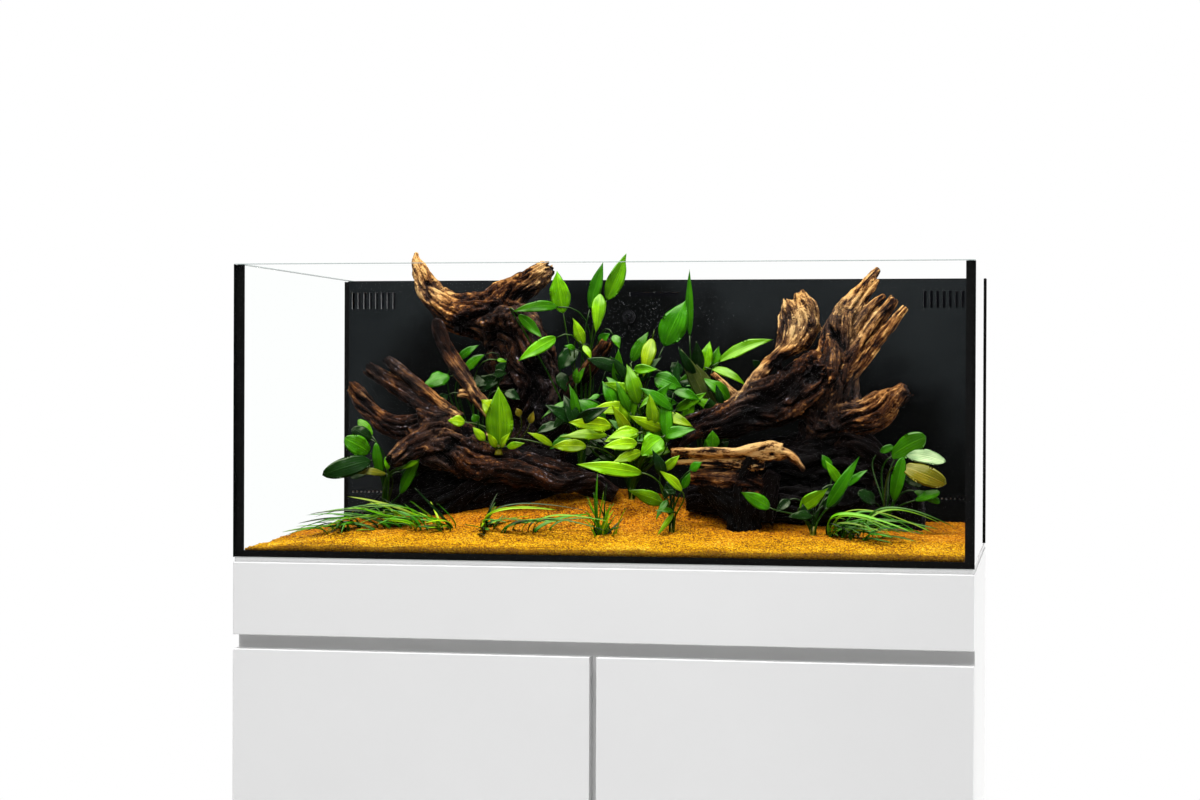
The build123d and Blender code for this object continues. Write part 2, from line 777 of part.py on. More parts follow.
def plant_nodes():
    return {
        "upper_sword": sand_plant(-70, 40, upper_sword_leaves),
        "centre_sword": sand_plant(6, -15, centre_sword_leaves),
        "right_sword": sand_plant(92, 36, right_sword_leaves),
        "left_broad_plant": sand_plant(-318, -35, left_broad_leaves),
        "back_sword": sand_plant(-210, 48, back_sword_leaves),
        "log_sword": rosette(plant_point(log_sword_root), log_sword_leaves),
        "front_sword": sand_plant(72, -104, front_sword_leaves),
        "right_broad_plant": sand_plant(334, -40, right_broad_leaves),
        "right_low_plant": sand_plant(247, -90, right_low_leaves),
        "left_grass": grass_tuft(-253, -75, left_grass_tips),
        "mid_grass": grass_tuft(-168, -100, mid_grass_tips),
        "front_grass": grass_tuft(-13, -120, front_grass_tips),
        "right_grass": grass_tuft(280, -100, right_grass_tips),
    }


def scape_nodes():
    nodes = {"sand_bed": sand_bed()}
    wood = {
        "left_upper_root": left_upper_root(),
        "left_forked_log": left_forked_log(),
        "right_root": right_root(),
        "front_log": front_log(),
    }
    for name, limbs in wood.items():
        nodes[name] = driftwood(limbs, list(nodes.values()))
    for name, plant in plant_nodes().items():
        nodes[name] = plant - list(nodes.values())
    return nodes


def tank_nodes():
    side = left_side_pane()
    return {
        "front_pane": broad_pane(front_y),
        "rear_pane": broad_pane(inner_back),
        "left_pane": side,
        "right_pane": other_side(side),
        "base_pane": base_glass(),
        "corner_seams": corner_silicone(),
        "base_seam": base_silicone(),
        "filter_partition": partition_panel(),
        "partition_beads": partition_silicone(),
        "chamber_baffles": group(both_sides(baffle())),
        "filter_fleece": group(both_sides(fleece_pad())),
        "return_pump": return_pump(),
        "return_pipe": return_pipe(),
        "outlet_socket": outlet_socket(),
        "return_nozzle": return_nozzle(),
        "levelling_mat": levelling_mat(),
    }


def cabinet_nodes():
    side = left_side_board()
    plates = left_hinges(hinge_plate)
    arms = left_hinges(hinge_arm)
    return {
        "top_panel": top_panel(),
        "left_side": side,
        "right_side": other_side(side),
        "base_panel": base_panel(),
        "centre_divider": centre_divider(),
        "back_panel": back_panel(),
        "grip_rails": group(both_sides(grip_rail())),
        "apron": apron(),
        "floor_glides": floor_glides(),
        "door_bumpers": door_bumpers(),
        "hinge_plates": group(plates + [other_side(plate) for plate in plates]),
        "hinge_arms": group(arms + [other_side(arm) for arm in arms]),
    }


def door_nodes():
    door = left_door_board()
    cups = left_hinges(hinge_cup)
    pins = left_hinges(hinge_pin)
    return {
        "left_door": door,
        "left_hinge_cups": group(cups),
        "left_hinge_pins": group(pins),
        "right_door": other_side(door),
        "right_hinge_cups": group([other_side(cup) for cup in cups]),
        "right_hinge_pins": group([other_side(pin) for pin in pins]),
    }


def main():
    os.makedirs("parts", exist_ok=True)
    nodes = {}
    nodes.update(tank_nodes())
    nodes.update(scape_nodes())
    nodes.update(cabinet_nodes())
    nodes.update(door_nodes())
    for name, shape in nodes.items():
        export_step(shape, f"parts/{name}.step")
    print(len(nodes), "nodes written")


main()
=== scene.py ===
import math
import random

import bpy
import numpy as np
from mathutils import Matrix, Vector, kdtree, noise


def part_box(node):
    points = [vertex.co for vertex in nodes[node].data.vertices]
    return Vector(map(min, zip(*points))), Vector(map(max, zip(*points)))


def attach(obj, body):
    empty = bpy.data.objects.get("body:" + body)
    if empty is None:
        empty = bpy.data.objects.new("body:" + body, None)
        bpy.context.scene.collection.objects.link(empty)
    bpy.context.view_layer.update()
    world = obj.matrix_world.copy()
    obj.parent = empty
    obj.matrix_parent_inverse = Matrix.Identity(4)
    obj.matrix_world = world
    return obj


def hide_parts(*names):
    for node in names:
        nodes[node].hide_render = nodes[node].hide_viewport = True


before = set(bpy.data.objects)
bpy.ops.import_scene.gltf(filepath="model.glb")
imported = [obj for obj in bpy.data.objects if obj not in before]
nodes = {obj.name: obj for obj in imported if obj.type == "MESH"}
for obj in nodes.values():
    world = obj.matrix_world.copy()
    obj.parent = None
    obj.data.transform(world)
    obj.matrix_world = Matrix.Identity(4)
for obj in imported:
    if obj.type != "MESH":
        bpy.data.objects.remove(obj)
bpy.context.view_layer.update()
mm = 0.001
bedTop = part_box("base_pane")[1].z  # heights of sand, wood and plants count from here
print("frame loaded:", len(nodes), "nodes")

# camera, worked out from the tank's eight corners, with angles in degrees

photoCamera = dict(place=(0.533, -3.074, 1.067), yaw=10.54, pitch=-0.323, roll=0.216, lens=72.27, sensor=36)


def setCamera():
    data = bpy.data.cameras.new("photoCamera")
    data.lens = photoCamera["lens"]
    data.sensor_width = photoCamera["sensor"]
    data.sensor_fit = "HORIZONTAL"
    camera = bpy.data.objects.new("photoCamera", data)
    turns = ((photoCamera["yaw"], "Z"), (90 + photoCamera["pitch"], "X"), (photoCamera["roll"], "Z"))
    stand = Matrix.Translation(photoCamera["place"])
    for degrees, axis in turns:
        stand = stand @ Matrix.Rotation(math.radians(degrees), 4, axis)
    camera.matrix_world = stand
    bpy.context.scene.collection.objects.link(camera)
    bpy.context.scene.camera = camera


# node helpers, which find their tree from the sockets that they join


def feed(socket, value):
    if isinstance(value, bpy.types.NodeSocket):
        socket.id_data.links.new(value, socket)
    elif socket.type == "RGBA" and len(value) == 3:
        socket.default_value = (*value, 1)
    else:
        socket.default_value = value


def put(tree, kind, sockets=None, **settings):
    made = tree.nodes.new("ShaderNode" + kind)
    for key, value in settings.items():
        setattr(made, key, value)
    for key, value in (sockets or {}).items():
        feed(made.inputs[key], value)
    return made.outputs


def join(kind, sockets, **settings):
    tree = next(value.id_data for value in sockets.values() if isinstance(value, bpy.types.NodeSocket))
    return put(tree, kind, sockets, **settings)


def calc(operation, first, second=0.0):
    return join("Math", {0: first, 1: second}, operation=operation)[0]


def plus(first, *others):
    for other in others:
        first = calc("ADD", first, other)
    return first


def times(first, *others):
    for other in others:
        first = calc("MULTIPLY", first, other)
    return first


def below(value, limit):
    return calc("LESS_THAN", value, limit)


def unsigned(value):
    return calc("ABSOLUTE", value)


def spread(value, low, high, newLow=0.0, newHigh=1.0):
    limits = {"Value": value, "From Min": low, "From Max": high, "To Min": newLow, "To Max": newHigh}
    return join("MapRange", limits)[0]


def between(cloud, low, high):
    return spread(cloud, 0.3, 0.7, low, high)  # most of a noise lies from 0.3 to 0.7


def stretched(vector, scale):
    return join("Mapping", {"Vector": vector, "Scale": scale})[0]


def cloudy(vector, scale, detail=4.0, rough=0.55):
    return join("TexNoise", {"Vector": vector, "Scale": scale, "Detail": detail, "Roughness": rough})[0]


def ramp(factor, stops):
    made = join("ValToRGB", {"Fac": factor})[0]
    ends = made.node.color_ramp.elements
    for end, (place, colour) in zip(ends, (stops[0], stops[-1])):
        end.position, end.color = place, (*colour, 1)
    for place, colour in stops[1:-1]:
        ends.new(place).color = (*colour, 1)
    return made


def tinted(factor, first, second, mode="MIX"):
    return join("Mix", {0: factor, 6: first, 7: second}, data_type="RGBA", blend_type=mode)[2]


def multiplied(colour, by):
    return tinted(1.0, colour, by, "MULTIPLY")


def bumped(height, strength, distance):
    return join("Bump", {"Height": height, "Strength": strength, "Distance": distance})[0]


def blend(factor, first, second):
    return join("MixShader", {0: factor, 1: first, 2: second})[0]


def parts(vector):
    return join("SeparateXYZ", {0: vector})


def lengthOf(vector):
    return join("VectorMath", {0: vector}, operation="LENGTH")["Value"]


def normalParts(tree, kind="True Normal"):
    return parts(put(tree, "NewGeometry")[kind])


def ownPlace(tree):
    return put(tree, "TexCoord")["Object"]


def carried(tree, name, output="Vector"):
    return put(tree, "Attribute", attribute_name=name)[output]


def newMaterial(name, colour, rough, gloss=0.5, extra=None):
    material = bpy.data.materials.new(name)
    material.use_nodes = True
    tree = material.node_tree
    tree.nodes.clear()
    finish = {"Base Color": colour, "Roughness": rough, "Specular IOR Level": gloss, **(extra or {})}
    shader = put(tree, "BsdfPrincipled", finish)[0].node
    put(tree, "OutputMaterial", {"Surface": shader.outputs[0]})
    return material, tree, shader


def paint(shader, colour=None, rough=None, normal=None):
    for name, value in (("Base Color", colour), ("Roughness", rough), ("Normal", normal)):
        if value is not None:
            feed(shader.inputs[name], value)


def surface(tree, shown):
    feed(tree.nodes["Material Output"].inputs["Surface"], shown)


def dress(material, *names):
    for name in names:
        mesh = nodes[name].data
        mesh.materials.clear()
        mesh.materials.append(material)


# white studio, lamps as (name, place, aim, width, height, watts)

studio = dict(
    ambient=0.12,
    lamps=[
        ("frontSoftbox", (-0.1, -3.0, 3.3), (0, 0, 0.75), 2.6, 1.6, 90),
        ("rightSoftbox", (3.6, 0.65, 0.8), (0.45, 0, 0.65), 1.8, 1.4, 78),
        ("topSoftbox", (-0.1, -0.45, 2.75), (0, 0, 0.9), 0.9, 0.5, 60),
        ("rearSoftbox", (-0.8, 3.6, 0.9), (0, 0.2, 0.6), 1.0, 1.2, 45),
    ],
    floorRadius=3.0, floorSides=96, fadeFrom=0.4, fadeTo=0.95,
    floorTone=(0.86, 0.86, 0.86), floorTones=[(0.3, (0.84, 0.84, 0.84)), (0.7, (0.88, 0.88, 0.88))],
)


def setStudio():
    world = bpy.data.worlds.new("whiteStudio")
    bpy.context.scene.world = world
    world.use_nodes = True
    tree = world.node_tree
    tree.nodes.clear()
    path = put(tree, "LightPath")
    seen = calc("MAXIMUM", path["Is Camera Ray"], path["Is Glossy Ray"])
    seen = calc("MAXIMUM", seen, path["Is Transmission Ray"])
    soft = put(tree, "Background", {"Color": (1, 1, 1), "Strength": studio["ambient"]})[0]
    white = put(tree, "Background", {"Color": (1, 1, 1), "Strength": 1.0})[0]
    put(tree, "OutputWorld", {"Surface": blend(seen, soft, white)})
    for name, place, aim, width, height, watts in studio["lamps"]:
        data = bpy.data.lights.new(name, "AREA")
        data.shape = "RECTANGLE"
        data.size, data.size_y, data.energy = width, height, watts
        lamp = bpy.data.objects.new(name, data)
        lamp.location = place
        lamp.rotation_euler = (Vector(aim) - Vector(place)).to_track_quat("-Z", "Y").to_euler()
        bpy.context.scene.collection.objects.link(lamp)
    setFloor()
    bpy.context.scene.view_settings.view_transform = "Standard"


def setFloor():
    # a round floor that fades out towards its rim
    radius, sides = studio["floorRadius"], studio["floorSides"]
    turns = [2 * math.pi * k / sides for k in range(sides)]
    ring = [(radius * math.cos(turn), radius * math.sin(turn), 0) for turn in turns]
    floor = newPiece("paleFloor", ring, [tuple(range(sides))])
    material, tree, shader = newMaterial("paleFloor", studio["floorTone"], 0.9)
    place = ownPlace(tree)
    paint(shader, colour=ramp(cloudy(place, 3.0), studio["floorTones"]))
    fade = spread(lengthOf(place), studio["fadeFrom"] * radius, studio["fadeTo"] * radius)
    clear = put(tree, "BsdfTransparent", {"Color": (1, 1, 1)})[0]
    surface(tree, blend(fade, shader.outputs[0], clear))
    floor.data.materials.append(material)


# mesh helpers


def newPiece(name, verts, faces, smooth=False):
    mesh = bpy.data.meshes.new(name)
    mesh.from_pydata([tuple(v) for v in verts], [], faces)
    mesh.validate()
    if smooth:
        mesh.shade_smooth()
    return linked(name, mesh)


def linked(name, mesh):
    piece = bpy.data.objects.new(name, mesh)
    bpy.context.scene.collection.objects.link(piece)
    return piece


def tag(piece, name, kind, values):
    field = {"FLOAT": "value", "FLOAT_VECTOR": "vector", "FLOAT_COLOR": "color"}[kind]
    layer = piece.data.attributes.new(name, kind, "POINT")
    layer.data.foreach_set(field, np.asarray(values, np.float32).ravel())


def settle(piece, material, slotName, *replaced):
    piece.data.materials.append(material)
    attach(piece, "root")
    if replaced:
        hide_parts(*replaced)


def aboveBed(place):
    return Vector((place[0] * mm, place[1] * mm, bedTop + place[2] * mm))


def tubeFaces(first, rings, sides):
    faces = []
    for i in range(rings - 1):
        for k in range(sides):
            a, b = first + i * sides + k, first + i * sides + (k + 1) % sides
            faces.append((a, b, b + sides, a + sides))
    return faces


def closedTube(first, rings, sides):
    foot, tip = range(first, first + sides), range(first + (rings - 1) * sides, first + rings * sides)
    return tubeFaces(first, rings, sides) + [tuple(reversed(foot)), tuple(tip)]


def domeFaces(first, rings, sides):
    # the point after the last ring is the crown
    last, crown = first + (rings - 1) * sides, first + rings * sides
    fan = [(last + k, last + (k + 1) % sides, crown) for k in range(sides)]
    return tubeFaces(first, rings, sides) + fan + [tuple(reversed(range(first, first + sides)))]


# tank

glassLook = dict(
    tint=(0.996, 1.0, 0.998), rimTone=(0.20, 0.25, 0.24), seamReflection=(0.004, 0.005, 0.005),
    rimCover=0.6, shineFrom=0.80, shineFull=0.96, leastShine=0.0005, mostShine=0.97,
)


def clearGlass(name, axis):
    # clear on the faces across the axis, tinted on a pane's rim and painted dark on its upright edges,
    # a painted reflection of the black seams
    material, tree, rim = newMaterial(name, glassLook["rimTone"], 0.25, 0.06)
    normal = normalParts(tree)
    onRim = below(unsigned(normal[axis]), 0.9)
    upright = below(unsigned(normal[2]), 0.3)
    tone = tinted(upright, glassLook["rimTone"], glassLook["seamReflection"])
    paint(rim, colour=tone, rough=between(cloudy(ownPlace(tree), 9.0, detail=3.0), 0.15, 0.35))
    clear = put(tree, "BsdfTransparent", {"Color": glassLook["tint"]})[0]
    gloss = put(tree, "BsdfAnisotropic", {"Color": (1, 1, 1), "Roughness": 0.02})[0]
    grazing = put(tree, "LayerWeight", {"Blend": 0.5})["Facing"]
    shines = [glassLook[key] for key in ("shineFrom", "shineFull", "leastShine", "mostShine")]
    edge = blend(spread(upright, 0, 1, glassLook["rimCover"], 1.0), clear, rim.outputs[0])
    surface(tree, blend(onRim, blend(spread(grazing, *shines), clear, gloss), edge))
    return material


def blackGlass():
    material, tree, shader = newMaterial("blackGlass", (0.003, 0.003, 0.004), 0.08, 0.06)
    paint(shader, rough=between(cloudy(ownPlace(tree), 14.0), 0.05, 0.14))
    return material


def blackSilicone():
    material, tree, shader = newMaterial("blackSilicone", (0.003, 0.003, 0.003), 0.5, 0.05)
    lumps = cloudy(ownPlace(tree), 160.0, detail=2.0)
    paint(shader, rough=between(lumps, 0.35, 0.55), normal=bumped(lumps, 0.25, 0.0006))
    return material


acrylicLook = dict(  # painted shadows on the partition as (x, height, half width, half height) in millimetres
    acrylicTones=[(0.3, (0.007, 0.0085, 0.0095)), (0.7, (0.013, 0.0155, 0.0165))],
    shadeTone=(0.0010, 0.0012, 0.0012), sawn=(0.84, 0.85, 0.86), arris=1.5,
    paintedShadows=[
        (-30, 300, 125, 62), (-270, 205, 130, 95), (-110, 120, 260, 130),
        (130, 190, 190, 110), (335, 110, 95, 105), (415, 20, 60, 85),
    ],
)


def blackAcrylic():
    shadeTone = acrylicLook["shadeTone"]
    material, tree, shader = newMaterial("blackAcrylic", shadeTone, 0.4, 0.03)
    place = ownPlace(tree)
    haze = cloudy(place, 7.0, detail=5.0)
    tone = ramp(haze, acrylicLook["acrylicTones"])
    ragged = between(cloudy(place, 16.0), -0.2, 0.2)
    # painted shadow: round each listed place the partition is painted down to its darkest tone, where the
    # scape shades it
    for x, height, wide, tall in acrylicLook["paintedShadows"]:
        middle = (-x / wide, 0, -(bedTop / mm + height) / tall)
        scale = (1 / (wide * mm), 0, 1 / (tall * mm))
        offset = join("Mapping", {"Vector": place, "Location": middle, "Scale": scale})[0]
        tone = tinted(spread(plus(lengthOf(offset), ragged), 0.6, 1.25, 1.0, 0.0), tone, shadeTone)
    sawn = below(unsigned(normalParts(tree)[1]), 0.5)
    depth = calc("SUBTRACT", parts(place)[1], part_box("filter_partition")[0].y)
    arris = times(sawn, below(depth, acrylicLook["arris"] * mm))  # painted highlight: pale only where a saw cut meets the front
    # cut faces take the darkest tone, painted shade inside the slots, and the pale tone of a cut edge along
    # their front arris, there a painted highlight
    tone = tinted(arris, tinted(sawn, tone, shadeTone), acrylicLook["sawn"])
    fine = cloudy(place, 420.0, detail=2.0)
    paint(shader, colour=tone, rough=between(haze, 0.32, 0.5), normal=bumped(fine, 0.08, 0.0004))
    return material


plasticCoat = dict(patch=30.0, ends=(0.35, 0.65), swing=(0.08, 0.08), grain=(900.0, 2.0), bump=(0.15, 0.0003))
boardCoat = dict(patch=5.0, ends=(0.3, 0.7), swing=(0.06, 0.06), grain=(700.0, 3.0), bump=(0.12, 0.0003))
lacquerCoat = dict(patch=4.0, ends=(0.3, 0.7), swing=(0.04, 0.06), grain=(220.0, 1.5), bump=(0.05, 0.0005))


def coated(coat, name, dark, light, rough, gloss=0.5):
    material, tree, shader = newMaterial(name, dark, rough, gloss)
    place = ownPlace(tree)
    patch = cloudy(place, coat["patch"])
    tone = ramp(patch, list(zip(coat["ends"], (dark, light))))
    worn = between(patch, rough - coat["swing"][0], rough + coat["swing"][1])
    paint(shader, colour=tone, rough=worn, normal=bumped(cloudy(place, *coat["grain"]), *coat["bump"]))
    return material


def finishTank():
    dress(clearGlass("clearGlassAcross", 1), "front_pane")
    dress(clearGlass("clearGlassSide", 0), "left_pane", "right_pane")
    dress(clearGlass("clearGlassBase", 2), "base_pane")
    dress(blackGlass(), "rear_pane")
    dress(blackSilicone(), "corner_seams", "base_seam", "partition_beads")
    dress(blackAcrylic(), "filter_partition", "chamber_baffles")
    pump = coated(plasticCoat, "pumpPlastic", (0.004, 0.004, 0.005), (0.008, 0.008, 0.009), 0.4, gloss=0.08)
    dress(pump, "return_pump", "outlet_socket", "return_nozzle")
    dress(coated(plasticCoat, "pipePlastic", (0.08, 0.085, 0.09), (0.11, 0.115, 0.12), 0.3), "return_pipe")
    makeFleece()
    makeMat()
    makeDrops()
    print("tank finished")


fleeceLook = dict(bulge=1.2, cells=(14, 8, 26), tones=[(0.3, (0.62, 0.62, 0.6)), (0.7, (0.86, 0.86, 0.84))])


def padMesh(name, low, high, seed):
    # a box of small cells whose edges pull in and whose faces are uneven
    cells, bulge = fleeceLook["cells"], fleeceLook["bulge"] * mm
    index, verts, faces = {}, [], []
    size = high - low

    def corner(spot):
        if spot not in index:
            share = Vector(at / count for at, count in zip(spot, cells))
            place = Vector(low[a] + size[a] * share[a] for a in range(3))
            inward = Vector((0.5, 0.5, 0.5)) - share
            pinch = sum(abs(abs(s - 0.5) - 0.5) < 1e-6 for s in share) - 1
            wobble = 0.5 + 0.5 * noise.noise(place * 90 + Vector((seed, 0, 0)))
            index[spot] = len(verts)
            verts.append(place + inward.normalized() * bulge * (wobble + pinch) * 0.5)
        return index[spot]

    for axis in range(3):
        a, b = (axis + 1) % 3, (axis + 2) % 3
        for end in (0, cells[axis]):
            for p in range(cells[a]):
                for q in range(cells[b]):
                    ring = []
                    for dp, dq in ((0, 0), (1, 0), (1, 1), (0, 1)):
                        spot = [0, 0, 0]
                        spot[axis], spot[a], spot[b] = end, p + dp, q + dq
                        ring.append(corner(tuple(spot)))
                    faces.append(tuple(ring if end else reversed(ring)))
    return newPiece(name, verts, faces, smooth=True)


def fleeceMaterial():
    material, tree, shader = newMaterial("whiteFleece", (0.8, 0.8, 0.78), 0.95, extra={"Sheen Weight": 0.4})
    fibres = cloudy(stretched(ownPlace(tree), (1, 1, 3)), 900.0, detail=6.0)
    paint(shader, colour=ramp(fibres, fleeceLook["tones"]), normal=bumped(fibres, 0.6, 0.001))
    return material


def makeFleece():
    low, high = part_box("filter_fleece")
    across = [v.co.x for v in nodes["filter_fleece"].data.vertices if v.co.x < 0]
    width = max(across) - min(across)
    material = fleeceMaterial()
    left = padMesh("fleeceLeft", low, Vector((low.x + width, high.y, high.z)), 3)
    right = padMesh("fleeceRight", Vector((high.x - width, low.y, low.z)), high, 8)
    for pad in (left, right):
        settle(pad, material, "white_fleece", "filter_fleece")


matLook = dict(
    levels=7, squeeze=0.6, corner=3.0, tones=[(0.1, (0.84, 0.84, 0.84)), (0.7, (0.74, 0.74, 0.74))],
)


def makeMat():
    low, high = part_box("levelling_mat")
    levels = matLook["levels"]
    verts = []
    for level in (i / (levels - 1) for i in range(levels)):
        inset = matLook["squeeze"] * mm * (1 - math.sin(math.pi * (0.1 + 0.8 * level)))
        spans = (low.x + inset, high.x - inset, low.y + inset, high.y - inset)
        ring = roundedRing(*spans, matLook["corner"] * mm)
        verts.extend((x, y, low.z + (high.z - low.z) * level) for x, y in ring)
    mat = newPiece("foamMat", verts, closedTube(0, levels, len(verts) // levels))
    material, tree, shader = newMaterial("matFoam", (0.82, 0.82, 0.82), 0.85)
    cells = put(tree, "TexVoronoi", {"Vector": ownPlace(tree), "Scale": 1100.0})["Distance"]
    paint(shader, colour=ramp(cells, matLook["tones"]), normal=bumped(cells, 0.4, 0.0004))
    settle(mat, material, "mat_foam", "levelling_mat")


def roundedRing(x0, x1, y0, y1, radius):
    x0, x1, y0, y1 = x0 + radius, x1 - radius, y0 + radius, y1 - radius
    ring = []
    for x, y, start in ((x1, y0, -90), (x1, y1, 0), (x0, y1, 90), (x0, y0, 180)):
        for turn in range(0, 91, 15):
            angle = math.radians(start + turn)
            ring.append((x + radius * math.cos(angle), y + radius * math.sin(angle)))
    return ring


dropLook = dict(  # millimetres, but for the sag and the depth, which are shares of the radius
    count=520, middle=(-18, 296), reach=(65, 22), radius=(0.25, 0.95), sag=(1.0, 1.7), depth=0.6,
    slotHalf=36, slotDepth=26, rimGap=6, rings=3, sides=8, seed=11,
)


def makeDrops():
    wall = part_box("filter_partition")[0].y
    chance = random.Random(dropLook["seed"])
    verts, faces = [], []
    for _ in range(dropLook["count"]):
        x, z = (chance.gauss(*spot) * mm for spot in zip(dropLook["middle"], dropLook["reach"]))
        radius = chance.uniform(*dropLook["radius"]) * mm
        sag = chance.uniform(*dropLook["sag"])
        if clearOfCuts(x, bedTop + z, 2 * radius):
            addDrop(verts, faces, Vector((x, wall, bedTop + z)), radius, sag)
    drops = newPiece("waterDrops", verts, faces, smooth=True)
    material, tree, shader = newMaterial("waterDrop", (0.012, 0.014, 0.016), 0.1, 0.42)
    paint(shader, rough=between(cloudy(ownPlace(tree), 300.0), 0.02, 0.07))
    settle(drops, material, "clear_glass")


def clearOfCuts(x, z, margin):
    low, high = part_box("outlet_socket")
    atOutlet = low.x - margin < x < high.x + margin and low.z - margin < z < high.z + margin
    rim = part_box("filter_partition")[1].z
    atSlot = abs(x) < dropLook["slotHalf"] * mm and rim - dropLook["slotDepth"] * mm < z
    return not atOutlet and not atSlot and z < rim - dropLook["rimGap"] * mm


def addDrop(verts, faces, place, radius, sag):
    rings, sides, deep = dropLook["rings"], dropLook["sides"], dropLook["depth"] * radius
    first = len(verts)
    for i in range(rings):
        tilt = 0.5 * math.pi * i / rings
        wide = radius * math.cos(tilt)
        for j in range(sides):
            turn = 2 * math.pi * j / sides
            down = sag if math.sin(turn) < 0 else 1.0
            out = (wide * math.cos(turn), -deep * math.sin(tilt), wide * down * math.sin(turn))
            verts.append(place + Vector(out))
    verts.append(place - Vector((0, deep, 0)))
    faces.extend(domeFaces(first, rings, sides))


# cabinet


def brushedSteel(name, tone, rough):
    material, tree, shader = newMaterial(name, tone, rough, extra={"Metallic": 1.0})
    lines = cloudy(stretched(ownPlace(tree), (40, 3, 40)), 60.0, detail=5.0)
    paint(shader, rough=between(lines, rough - 0.08, rough + 0.1), normal=bumped(lines, 0.1, 0.0002))
    return material


def finishCabinet():
    board = coated(boardCoat, "whiteBoard", (0.79, 0.79, 0.785), (0.815, 0.815, 0.81), 0.5)
    dress(board, "top_panel", "left_side", "right_side", "base_panel")
    dress(board, "centre_divider", "back_panel", "grip_rails")
    lacquer = coated(lacquerCoat, "frontLacquer", (0.79, 0.79, 0.79), (0.81, 0.81, 0.81), 0.32, gloss=0.4)
    dress(lacquer, "apron", "left_door", "right_door")
    glides = coated(plasticCoat, "glidePlastic", (0.03, 0.03, 0.032), (0.045, 0.045, 0.047), 0.5)
    dress(glides, "floor_glides")
    dress(coated(plasticCoat, "bumperRubber", (0.62, 0.62, 0.6), (0.7, 0.7, 0.68), 0.6), "door_bumpers")
    steel = brushedSteel("hingeSteel", (0.62, 0.62, 0.63), 0.3)
    dress(steel, "hinge_plates", "hinge_arms", "left_hinge_cups", "right_hinge_cups")
    pinSteel = brushedSteel("pinSteel", (0.5, 0.5, 0.52), 0.22)
    dress(pinSteel, "left_hinge_pins", "right_hinge_pins")
    makeScrews(pinSteel)
    print("cabinet finished")


screwLook = dict(  # millimetres; rings of the dome as shares of (radius, rise)
    radius=3.2, rise=1.1, recess=0.8, crossWidth=0.3, fromEnd=22, apart=14, sides=24,
    rings=((1.0, 0.0), (0.92, 0.55), (0.72, 0.85), (0.56, 0.95), (0.5, 0.95), (0.22, 0.98)),
)


def makeScrews(material):
    # two crossed-recess screws on each hinge plate
    low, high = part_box("hinge_plates")
    verts, faces = [], []
    for side in (-1, 1):
        across = [v.co.x for v in nodes["hinge_plates"].data.vertices if v.co.x * side > 0]
        face = min(across, key=abs)
        for plateZ in (low.z + screwLook["fromEnd"] * mm, high.z - screwLook["fromEnd"] * mm):
            for shift in (-screwLook["apart"], screwLook["apart"]):
                addScrew(verts, faces, Vector((face, (low.y + high.y) / 2, plateZ + shift * mm)), -side)
    settle(newPiece("plateScrews", verts, faces), material, "pin_steel")


def addScrew(verts, faces, place, outward):
    # rings from the rim over the dome; the inner rings sink into a cross
    sides, radius, rings = screwLook["sides"], screwLook["radius"] * mm, screwLook["rings"]
    first = len(verts)
    for share, rise in rings:
        for k in range(sides):
            turn = 2 * math.pi * k / sides
            inCross = min(abs(math.sin(turn)), abs(math.cos(turn))) < screwLook["crossWidth"]
            sunk = screwLook["recess"] if share <= 0.5 and inCross else 0.0
            out = (rise * screwLook["rise"] - sunk) * mm * outward
            wide = share * radius
            verts.append(place + Vector((out, wide * math.cos(turn), wide * math.sin(turn))))
    verts.append(place + Vector(((screwLook["rise"] - screwLook["recess"]) * mm * outward, 0, 0)))
    made = domeFaces(first, len(rings), sides)
    faces.extend(ring if outward > 0 else tuple(reversed(ring)) for ring in made)


# sand, heights in millimetres; between the two places of its dip, in metres, it thins out to the left

sandShape = dict(edge=7, back=22, ramp=240, mound=48, moundX=-60, moundY=20, halfX=230, halfY=110, front=-242)
sandLook = dict(
    step=1.8, ripple=2.2, grain=0.40, least=2.0, dip=0.55, dipFrom=-0.35, dipTo=-0.44, seed=5,
    tones=[
        (0.05, (0.07, 0.016, 0.0005)), (0.28, (0.28, 0.10, 0.001)), (0.55, (0.56, 0.26, 0.003)),
        (0.82, (0.76, 0.42, 0.006)), (0.99, (0.92, 0.66, 0.06)),
    ],
    # deep and sideShade are painted shade: the sand further back, and its sides seen against the glass
    deep=(0.72, 0.51, 0.5), sideShade=(0.16, 0.07, 0.008),
)


def eased(share):
    return share * share * (3 - 2 * share)


def sandHeight(x, y):
    run = np.clip((y / mm - sandShape["front"]) / sandShape["ramp"], 0, 1)
    ground = sandShape["edge"] + (sandShape["back"] - sandShape["edge"]) * eased(run)
    away = ((x / mm - sandShape["moundX"]) / sandShape["halfX"]) ** 2
    away = away + ((y / mm - sandShape["moundY"]) / sandShape["halfY"]) ** 2
    return (ground + sandShape["mound"] * run * np.exp(-away)) * mm


def sandTop(place):
    return bedTop + float(sandHeight(place.x, place.y))


def rippled(x, y):
    return noise.noise((x * 26, y * 34, 0.3)) + 0.5 * noise.noise((x * 70, y * 90, 2.0))


